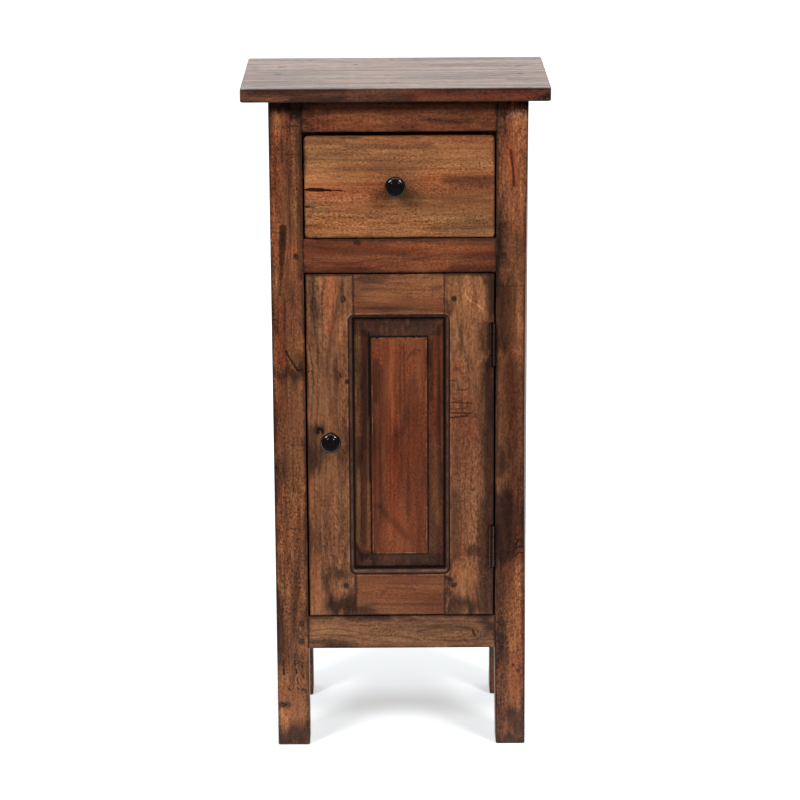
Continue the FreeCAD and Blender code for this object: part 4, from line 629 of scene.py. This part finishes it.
def greyed_with_painted_sheen(tree, place, colour):
    """The top's upper face is paler and greyer than its edges, partly from use and partly a painted sheen,
    with streaks along its grain.
    """
    up = ramp(tree, axes(tree, place)["Z"], GREYING_START, UPPER_FACE)
    # Paler and greyer: partly greyed by use, partly a painted sheen.
    hazy = blend(tree, 0.85, colour, GREY_TOP_AND_SHEEN)
    lines = ramp(tree, noise(tree, place, (5, 85, 85), 5, 0.66), 0.36, 0.62, 0.62, 1.25)
    dashes = ramp(tree, noise(tree, place, (75, 300, 300), 3, 0.8), 0.4, 0.6, 0.74, 1.18)
    open_grain = ramp(tree, noise(tree, place, (22, 210, 210), 4, 0.7), 0.55, 0.62, 1.05, 0.72)
    share = times(tree, times(tree, lines, dashes), open_grain)
    streaky = add_node(tree, "VectorMath", {0: hazy, "Scale": share}, operation="SCALE").outputs[0]
    return blend(tree, up, colour, streaky)


def on_top_board(x, height_or_y):
    """A point of a mark on the front edge, from its X and Z, or on the upper face, from its X and Y."""
    if height_or_y > TOP_UPPER / 2:
        return x, TOP_FRONT, height_or_y
    return x, height_or_y, TOP_UPPER


for label, seed in (("front", 1.3), ("middle", 2.9), ("back", 4.7)):
    top_wood = waxed_wood(f"top_{label}_wood", "X", TOP_BROWNS, pith=(0, 0.04, 0.72), rings=800, seed=seed,
                          board=TOP_BOX, edge=0.0018, edge_share=0.55, gloss=0.03, marks=TOP_MARKS[label],
                          flat=on_top_board, extra=greyed_with_painted_sheen, clouds=0.35, shine=0.4)
    finish_with(top_wood, f"top_board_{label}")

# ------------------ door
# Two stiles and two rails, mortised, tenoned and pegged, round a raised and fielded panel.
# Brown wax darkens the moulding and dark wax the panel's sunk border. Black, partly wax and partly painted
# shade, fills the quirk, the groove beside the panel, the field's step and the panel's rim by the frame.
tree, given, result = new_group("Rounded Rectangle", {
    "Centre": (0, 0, 0), "Half": (0.1, 0, 0.1), "Corner": 0.001}, {"Distance": "Float"})
reach = vectors(tree, "ABSOLUTE", vectors(tree, "SUBTRACT", given["Vector"], given["Centre"]))
over = axes(tree, vectors(tree, "SUBTRACT", reach, given["Half"]))
over_x = maths(tree, "ADD", over["X"], given["Corner"])
over_z = maths(tree, "ADD", over["Z"], given["Corner"])
beyond = add_node(tree, "CombineXYZ", {0: maths(tree, "MAXIMUM", over_x, 0),
                                       2: maths(tree, "MAXIMUM", over_z, 0)}).outputs[0]
outside = vectors(tree, "LENGTH", beyond, output="Value")
inside = maths(tree, "MINIMUM", maths(tree, "MAXIMUM", over_x, over_z), 0)
tree.links.new(maths(tree, "SUBTRACT", maths(tree, "ADD", outside, inside), given["Corner"]),
               result["Distance"])
rounded_rectangle = tree

# The opening between stiles and rails, as a middle and a half size, and the moulding round it.
# Its bands are distances outside the opening in metres.
left_stile, right_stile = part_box("door_stile_left"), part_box("door_stile_right")
low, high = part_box("door_rail_bottom")[1][2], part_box("door_rail_top")[0][2]
DOOR_LEFT, LEFT_JOINT = left_stile[0][0], left_stile[1][0]
RIGHT_JOINT, DOOR_RIGHT = right_stile[0][0], right_stile[1][0]
DAYLIGHT = (((LEFT_JOINT + RIGHT_JOINT) / 2, 0, (low + high) / 2),
            ((RIGHT_JOINT - LEFT_JOINT) / 2, 0, (high - low) / 2))
DAYLIGHT_CORNER = 0.0012
CORE, CROWN, QUIRK, MOULDING = (0.001, 0.0022), (0.0026, 0.0042), (0.0052, 0.0062), 0.006
OUTER_RIM = (MOULDING + 0.0008, MOULDING + 0.0018)
# The black for the moulding's hollows is painted shade with wax. The crown's lighter tone is partly rubbed
# wax and partly a painted highlight.
BLACK_WAX_AND_SHADE, BROWN_WAX = tone(17, 11, 9), tone(74, 50, 41)
CROWN_WEAR_AND_HIGHLIGHT, RUBBED_RIM = tone(128, 88, 66), tone(186, 134, 98)


def distance_outside(tree, place, rectangle, corner):
    """How far a point is outside a rectangle on the front, in metres."""
    flat_place = vectors(tree, "MULTIPLY", place, (1, 0, 1))
    return use_group(tree, rounded_rectangle, flat_place, Centre=rectangle[0], Half=rectangle[1],
                     Corner=corner)["Distance"]


def band(tree, distance, limits, soft=0.0005):
    """1 where a distance is between two limits in metres, with soft ends."""
    start, end = limits
    rise = ramp(tree, distance, start - soft, start + soft)
    return times(tree, rise, ramp(tree, distance, end - soft, end + soft, 1, 0))


def moulding_wax_and_shade(tree, place, colour):
    """Wax along the moulding: brown all over, black beside the panel and in the quirk as painted shade with
    wax, and a lighter crown, partly rubbed and partly a painted highlight.
    """
    distance = distance_outside(tree, place, DAYLIGHT, DAYLIGHT_CORNER)
    patchy = noise(tree, place, (70, 70, 70), 4, 0.75)
    inside = ramp(tree, distance, MOULDING - 0.0004, MOULDING + 0.0008, 1, 0)
    brown = blend(tree, times(tree, inside, 0.85), colour, BROWN_WAX)
    # The crown's lighter band is partly rubbed wax and partly a painted highlight on the bead.
    crown = times(tree, band(tree, distance, CROWN), ramp(tree, patchy, 0.42, 0.6, 0, 0.8))
    rubbed = blend(tree, crown, brown, CROWN_WEAR_AND_HIGHLIGHT)
    # Black beside the panel and in the quirk: painted shade, with wax.
    core = ramp(tree, distance, *CORE, 0.97, 0)
    quirk = times(tree, band(tree, distance, QUIRK, 0.0004), ramp(tree, patchy, 0.4, 0.5, 0.98, 0.75))
    dark = blend(tree, maths(tree, "MAXIMUM", core, quirk), rubbed, BLACK_WAX_AND_SHADE)
    rim = times(tree, band(tree, distance, OUTER_RIM, 0.0004), ramp(tree, patchy, 0.42, 0.6, 0, 0.6))
    return blend(tree, rim, dark, RUBBED_RIM)


DOOR_BROWNS = ((168, 112, 74), (114, 71, 48), (126, 67, 43), (47, 32, 27))
STILE_MARKS = {"left": {
    "red": [(0.6, 6, (-77, 573), (-76, 515)), (0.4, 4.5, (-102, 346), (-98, 178))],
    "dark": [(0.5, 4.5, (-97, 548), (-96, 493)), (0.4, 4.5, (-94, 491), (-92, 474)), (0.6, 4.5, (-67, 462)),
        (0.75, 6, (-91, 394)), (0.3, 0.9, (-94, 302), (-74, 302)), (0.5, 1, (-74, 292), (-68, 280)),
        (0.6, 1.2, (-79, 240), (-74, 239), (-72, 232)), (0.5, 4.5, (-87, 216), (-56, 215))],
    "black": [(0.5, 1.2, (-71, 467), (-64, 458)), (0.5, 0.9, (-107, 465), (-99, 465), (-96, 449)),
        (0.9, 2.8, (-58, 452)), (0.95, 1.8, (-93, 391), (-92, 396), (-88, 395), (-87, 391))],
    "pale": [(0.7, 0.9, (-91, 449)), (0.9, 0.8, (-90, 396))],
    "ring": [(0.9, 3.4, (-61.5, 202)), (0.9, 3.4, (-61.5, 551))],
    "shade": [(0.7, 9, (-101, 390), (-98, 350)), (0.5, 11, (-88, 366)), (1, 12, (-74, 176), (-50, 181))],
    "gold": [(0.3, 9, (-72, 382), (-72, 234)), (0.35, 6, (-63, 569), (-63, 515))]
}, "right": {
    "shade": [(0.65, 7, (62, 544), (61, 538)), (0.5, 8, (104, 516), (105, 490)),
        (0.95, 9, (108, 470), (109, 307)), (0.9, 12, (109, 304), (106, 178)),
        (0.8, 8, (88, 243), (106, 241)), (0.75, 10, (66, 174), (106, 176)),
        (0.75, 5, (96, 579), (104, 576), (110, 566), (111, 530)), (0.55, 4, (58, 193), (62, 190))],
    "gold": [(0.65, 22, (84, 545)), (0.35, 14, (84, 500), (84, 470)), (0.5, 4.5, (100, 481)),
        (0.4, 13, (81, 214))],
    "ring": [(0.9, 3.4, (66.5, 202)), (0.9, 3.4, (66.5, 551))],
    "dark": [(0.75, 6, (111, 578), (110, 490)), (0.65, 3.2, (70, 467)), (0.5, 6, (68, 317), (68, 236)),
        (0.7, 2, (89, 320)), (0.6, 4.5, (60, 208), (65, 206)), (0.5, 4.5, (71, 179)), (0.6, 3.5, (60, 230)),
        (0.5, 3, (72, 186), (80, 180))],
    "pale": [(0.3, 0.8, (69, 569), (85, 549), (100, 539)), (0.6, 1.5, (75, 237))],
    "red": [(0.5, 8, (68, 466)), (0.4, 11, (80, 430), (83, 393))],
    "black": [(0.7, 0.9, (61, 453), (69, 453)), (0.6, 0.9, (68, 443), (83, 442)),
        (0.75, 0.9, (61, 427), (87, 426)), (0.75, 0.9, (63, 414), (87, 413)),
        (0.6, 0.8, (62, 418), (80, 419)), (0.6, 0.7, (66, 431), (84, 424)), (0.85, 1, (61, 408), (82, 410)),
        (0.7, 2, (57, 212), (63, 208))]
}}
DOOR_Y, DOOR_Z, DOOR_HALF_DEPTH, DOOR_HALF_HEIGHT, DOOR_EDGE = -0.082, 0.3725, 0.01, 0.2075, 0.0022
for label, low, high, seed in (("left", DOOR_LEFT, LEFT_JOINT, 12), ("right", RIGHT_JOINT, DOOR_RIGHT, 14.5)):
    middle = (low + high) / 2
    stile_board = ((middle, DOOR_Y, DOOR_Z), ((high - low) / 2, DOOR_HALF_DEPTH, DOOR_HALF_HEIGHT))
    stile_wood = waxed_wood(f"door_stile_{label}_wood", "Z", DOOR_BROWNS, pith=(middle + 0.02, -0.05, 0),
                            seed=seed, board=stile_board, edge=DOOR_EDGE, marks=STILE_MARKS[label],
                            extra=moulding_wax_and_shade, figure=0.4, flecks=0.62, streaks=0.38)
    finish_with(stile_wood, f"door_stile_{label}")
DOOR_RAIL_BROWNS = ((154, 98, 63), (106, 62, 41), (122, 60, 37), (46, 30, 24))
DOOR_RAIL_MARKS = {"top": {
    "gold": [(0.4, 12, (-20, 560), (40, 556))],
    "dark": [(0.35, 1.2, (-40, 563), (50, 561)), (0.5, 3, (42, 562), (50, 564))],
    "shade": [(0.45, 5, (-40, 576), (-8, 577))]
}, "bottom": {
    "dark": [(0.2, 20, (-40, 192), (45, 192)), (0.5, 2, (-15, 199), (20, 197)),
        (0.4, 1.6, (-30, 179), (50, 177))],
    "red": [(0.4, 12, (-30, 192), (40, 190))],
    "shade": [(0.7, 9, (-50, 168), (-34, 172))],
    "black": [(0.5, 2, (-17, 194))]
}}
DOOR_RAIL_X, DOOR_RAIL_HALF_LENGTH = 0.0025, 0.0525
for label, z, half_height, seed in (("top", 0.5533, 0.0268, 16), ("bottom", 0.1935, 0.0285, 18)):
    door_rail_board = ((DOOR_RAIL_X, DOOR_Y, z), (DOOR_RAIL_HALF_LENGTH, DOOR_HALF_DEPTH, half_height))
    door_rail_wood = waxed_wood(f"door_rail_{label}_wood", "X", DOOR_RAIL_BROWNS, pith=(0, -0.06, z - 0.05),
                                seed=seed, board=door_rail_board, edge=DOOR_EDGE, flecks=0.5, figure=0.2,
                                streaks=0.25, marks=DOOR_RAIL_MARKS[label], extra=moulding_wax_and_shade)
    finish_with(door_rail_wood, f"door_rail_{label}")

# The panel's raised field, found from the points of its mesh that lie on its face.
panel_points = [corner.co for corner in nodes["door_panel"].data.vertices]
face_level = min(point.y for point in panel_points) + 0.0002
raised = [point for point in panel_points if point.y < face_level]
field_low = Vector(min(point[axis] for point in raised) for axis in range(3))
field_high = Vector(max(point[axis] for point in raised) for axis in range(3))
FLAT = Vector((1, 0, 1))
FIELD = ((field_low + field_high) / 2 * FLAT, (field_high - field_low) / 2 * FLAT)
FIELD_CORNER, STEP, FIELD_RIM = 0.0008, (0.0005, 0.0024), (-0.0012, -0.0003)
BORDER_WAX, BORDER_ENDS_DARKER = (0.62, 0.76, 0.86, 1), (0.55, 0.62, 0.68, 1)
RUBBED_FIELD = tone(176, 112, 78)


def sunk_border(tree, place, colour):
    """Dark wax over the border that slopes down from the field, darker still at its top and bottom ends, with
    painted shadow black along the field's step and the panel's rim by the frame.
    """
    distance = distance_outside(tree, place, FIELD, FIELD_CORNER)
    border = ramp(tree, distance, -0.0002, 0.0006)
    cloudy = ramp(tree, noise(tree, place, (110, 110, 14), 4, 0.7), 0.4, 0.62, 0.45, 1)
    dark = blend(tree, times(tree, border, cloudy), colour, BORDER_WAX, "MULTIPLY")
    # Darker towards the border's top and bottom ends.
    from_middle = maths(tree, "ABSOLUTE", maths(tree, "SUBTRACT", axes(tree, place)["Z"], FIELD[0].z))
    past = maths(tree, "SUBTRACT", from_middle, FIELD[1].z)
    dark = blend(tree, ramp(tree, past, 0, 0.003), dark, BORDER_ENDS_DARKER, "MULTIPLY")
    patchy = noise(tree, place, (60, 60, 60), 4, 0.7)
    # Painted shadow: black along the field's step and along the panel's rim beside the frame.
    step = times(tree, band(tree, distance, STEP), ramp(tree, patchy, 0.38, 0.55, 0.6, 0.97))
    rim = ramp(tree, distance_outside(tree, place, DAYLIGHT, DAYLIGHT_CORNER), -0.0018, -0.0002, 0, 0.95)
    shaded_border = blend(tree, maths(tree, "MAXIMUM", step, rim), dark, BLACK_WAX_AND_SHADE)
    rubbed = times(tree, band(tree, distance, FIELD_RIM, 0.0003), ramp(tree, patchy, 0.45, 0.6, 0, 0.6))
    return blend(tree, rubbed, shaded_border, RUBBED_FIELD)


PANEL_BROWNS = ((146, 80, 48), (100, 51, 31), (124, 55, 31), (44, 28, 23))
PANEL_MARKS = {
    # The black strokes are painted shadow: along the panel's right and bottom rims by the frame, and along
    # the top and left of the field's step.
    "black": [(0.85, 1, (54.5, 226), (54.5, 522)), (0.8, 1.4, (-48, 223.5), (53, 223.5)),
        (0.85, 1.1, (-31, 505.2), (33, 505.2)), (0.95, 1.5, (-32.6, 508), (-32.4, 410)),
        (0.7, 1.2, (-32.5, 410), (-32.5, 330))],
    "olive": [(0.8, 3, (-46.5, 508), (-46, 250)), (0.5, 1.6, (-34.5, 400), (-35, 250)),
        (0.6, 3, (46, 370), (45, 250))],
    "shade": [(0.75, 3.4, (-38.5, 512), (-38, 370)), (0.55, 3, (-38, 370), (-39, 250)),
        (0.5, 1, (-42.5, 500), (-42.5, 260)), (0.5, 2.4, (40, 500), (40, 430)),
        (0.4, 3, (49, 516), (49, 300)), (0.35, 2.2, (-19, 470), (-21, 300)), (0.3, 1.6, (4, 500), (5, 330)),
        (0.3, 1.4, (14, 420), (12, 280)), (0.35, 2.6, (-28, 400), (-27, 240)),
        (0.85, 6, (-50, 243), (-30, 234)), (0.5, 5, (-44, 520), (40, 521))],
    "red": [(0.5, 3.5, (44, 500), (44, 390)), (0.45, 3.6, (-2, 440), (-2, 270)), (0.4, 8, (-17, 490))],
    "gold": [(0.5, 2.4, (-6, 500), (-8, 260))],
    "dark": [(0.5, 3, (20, 486)), (0.5, 0.9, (11, 478), (16, 487), (22, 490), (27, 488)),
        (0.5, 3.5, (-25, 476), (-25, 430)), (0.6, 5, (-46, 379), (-44, 355)),
        (0.5, 3.5, (36, 488), (38, 471)), (0.35, 1.2, (8, 496), (9, 406)), (0.3, 1, (-8, 430), (-8, 283)),
        (0.4, 4, (-22, 300), (10, 262))],
    "pale": [(0.35, 0.5, (-48, 470), (-48, 400)), (0.3, 0.5, (-35, 330), (-35, 280))]}
door_panel_wood = waxed_wood("door_panel_wood", "Z", PANEL_BROWNS, pith=(0, -0.04, 0), seed=20, rings=700,
                             flecks=0.5, streaks=0.6, clouds=0.4, marks=PANEL_MARKS,
                             flat=lambda x, z: (x, 0, z), pressed=(1, 0, 1), extra=sunk_border)
finish_with(door_panel_wood, "door_panel")

# ------------------ drawer
# A thicker front of honey-coloured wood, with thin sides, back and bottom behind it.
DRAWER_HONEYS = ((192, 131, 82), (138, 84, 51), (154, 82, 45), (70, 42, 30))
DRAWER_MARKS = {
    "shade": [(0.12, 42, (84, 715), (84, 645)), (0.5, 3.2, (-57, 731), (5, 729), (40, 731)),
        (0.35, 4, (-104, 735), (-60, 736)), (0.3, 4, (60, 690), (108, 694)),
        (0.3, 4, (40, 634), (105, 632))],
    "olive": [(0.12, 15, (-95, 644), (95, 640)), (0.1, 10, (-95, 722), (-20, 726))],
    "red": [(0.55, 8, (-105, 680), (-71, 679)), (0.5, 12, (40, 692), (105, 690)),
        (0.4, 14, (-60, 665), (-20, 672))],
    "crack": [(1, 1.5, (-107, 680), (-100, 680.3)), (1, 2.2, (-99, 680.3), (-84, 679.8)),
        (1, 1.4, (-84, 679.8), (-75, 679.4)), (0.9, 0.8, (-75, 679.4), (-62, 679)),
        (0.9, 1.6, (-107, 660.3), (-101, 660.3)), (0.8, 0.9, (-101, 660.3), (-94, 659.8))],
    "pale": [(0.9, 1, (-92, 680)), (0.9, 0.9, (-79, 679))],
    "specks": [(0.6, 3, (14, 645), (62, 641)), (0.8, 3, (72, 648), (98, 650))],
    "black": [(0.6, 0.9, (-5, 641), (2, 640)), (0.7, 1.2, (-22, 670))],
    "dark": [(0.4, 6, (60, 690), (105, 688)), (0.55, 16, (2, 680)), (0.6, 9, (12, 672))],
    "gold": [(0.35, 10, (-95, 700), (-40, 704)), (0.35, 8, (60, 725), (100, 722)),
        (0.3, 9, (-90, 640), (-40, 636))]}
DRAWER_FRONT = ((0.004, -0.083, 0.682), (0.109, 0.009, 0.059))
drawer_wood = waxed_wood("drawer_front_wood", "X", DRAWER_HONEYS, pith=(0, -0.06, 0.6), seed=22, rings=430,
                         board=DRAWER_FRONT, edge=0.003, worn=0.8, clouds=0.4, streaks=0.4, flecks=0.8,
                         marks=DRAWER_MARKS)
finish_with(drawer_wood, "drawer_front")
finish_with(strip_wood, "drawer_side_left", "drawer_side_right")
finish_with(inside_wood, "drawer_back", "drawer_bottom")

# ------------------ pegs, nails and screws
# Dark pegs lock the tenons, nails hold the top, strips and drawer, screws hold the ironwork.
PEG_BROWNS = ((84, 58, 40), (50, 34, 25), (62, 38, 27), (26, 18, 15))
peg_wood = waxed_wood("peg_wood", "Y", PEG_BROWNS, seed=30)
finish_with(peg_wood, "frame_pegs", "door_pegs")


def smooth_stuff(name, colour, rough, metallic=1, dulled=0.55, uneven=0.3):
    """Metal, or with metallic at 0 plastic, with a little unevenness in its colour and shine."""
    material, tree, place = new_material(name)
    cloud = add_node(tree, "TexNoise", {"Vector": place, "Scale": 300, "Detail": 4}).outputs["Fac"]
    dull = tuple(part * dulled for part in colour[:3]) + (1,)
    shade = blend(tree, ramp(tree, cloud, 0.4, 0.65), dull, colour)
    spread = 0.27 * uneven
    bumpy_surface(tree, cloud, uneven, 0.0001, {
        "Base Color": shade, "Roughness": ramp(tree, cloud, 0.3, 0.7, rough - spread, rough + spread),
        "Metallic": metallic})
    return material


dark_steel = smooth_stuff("dark_steel", tone(70, 62, 58), 0.45)
finish_with(dark_steel, "top_nails", "strip_nails", "drawer_nails")
bright_zinc = smooth_stuff("bright_zinc", tone(176, 174, 170), 0.3)
finish_with(bright_zinc, "door_knob_screw", "drawer_knob_screw", "catch_screws", "catch_strike_screw",
            "catch_strike_plate")

# ------------------ hinges
# Loose butt hinges of browned steel: two leaves, three knuckles and a pin each.
browned_steel = smooth_stuff("browned_steel", tone(98, 77, 67), 0.26, dulled=0.85, uneven=0.04)
finish_with(browned_steel, "hinge_upper_frame_leaf", "hinge_upper_door_leaf", "hinge_lower_frame_leaf",
            "hinge_lower_door_leaf", "hinge_pins", "hinge_frame_screws", "hinge_door_screws")

# ------------------ knobs
# Turned knobs under several coats of black lacquer.
lacquer, tree, place = new_material("black_lacquer")
cloud = add_node(tree, "TexNoise", {"Vector": place, "Scale": 500, "Detail": 3}).outputs["Fac"]
bumpy_surface(tree, cloud, 0.15, 0.0001, {
    "Base Color": blend(tree, cloud, tone(14, 12, 11), tone(24, 19, 17)),
    "Roughness": ramp(tree, cloud, 0.3, 0.7, 0.1, 0.2)})
finish_with(lacquer, "door_knob", "drawer_knob")

# ------------------ magnetic catch
# A brown moulded housing with a block magnet behind the door's free edge.
brown_plastic = smooth_stuff("brown_plastic", tone(96, 66, 44), 0.5, metallic=0)
finish_with(brown_plastic, "catch_housing")
ferrite = smooth_stuff("ferrite", tone(58, 58, 60), 0.55, metallic=0.2)
finish_with(ferrite, "catch_magnet")
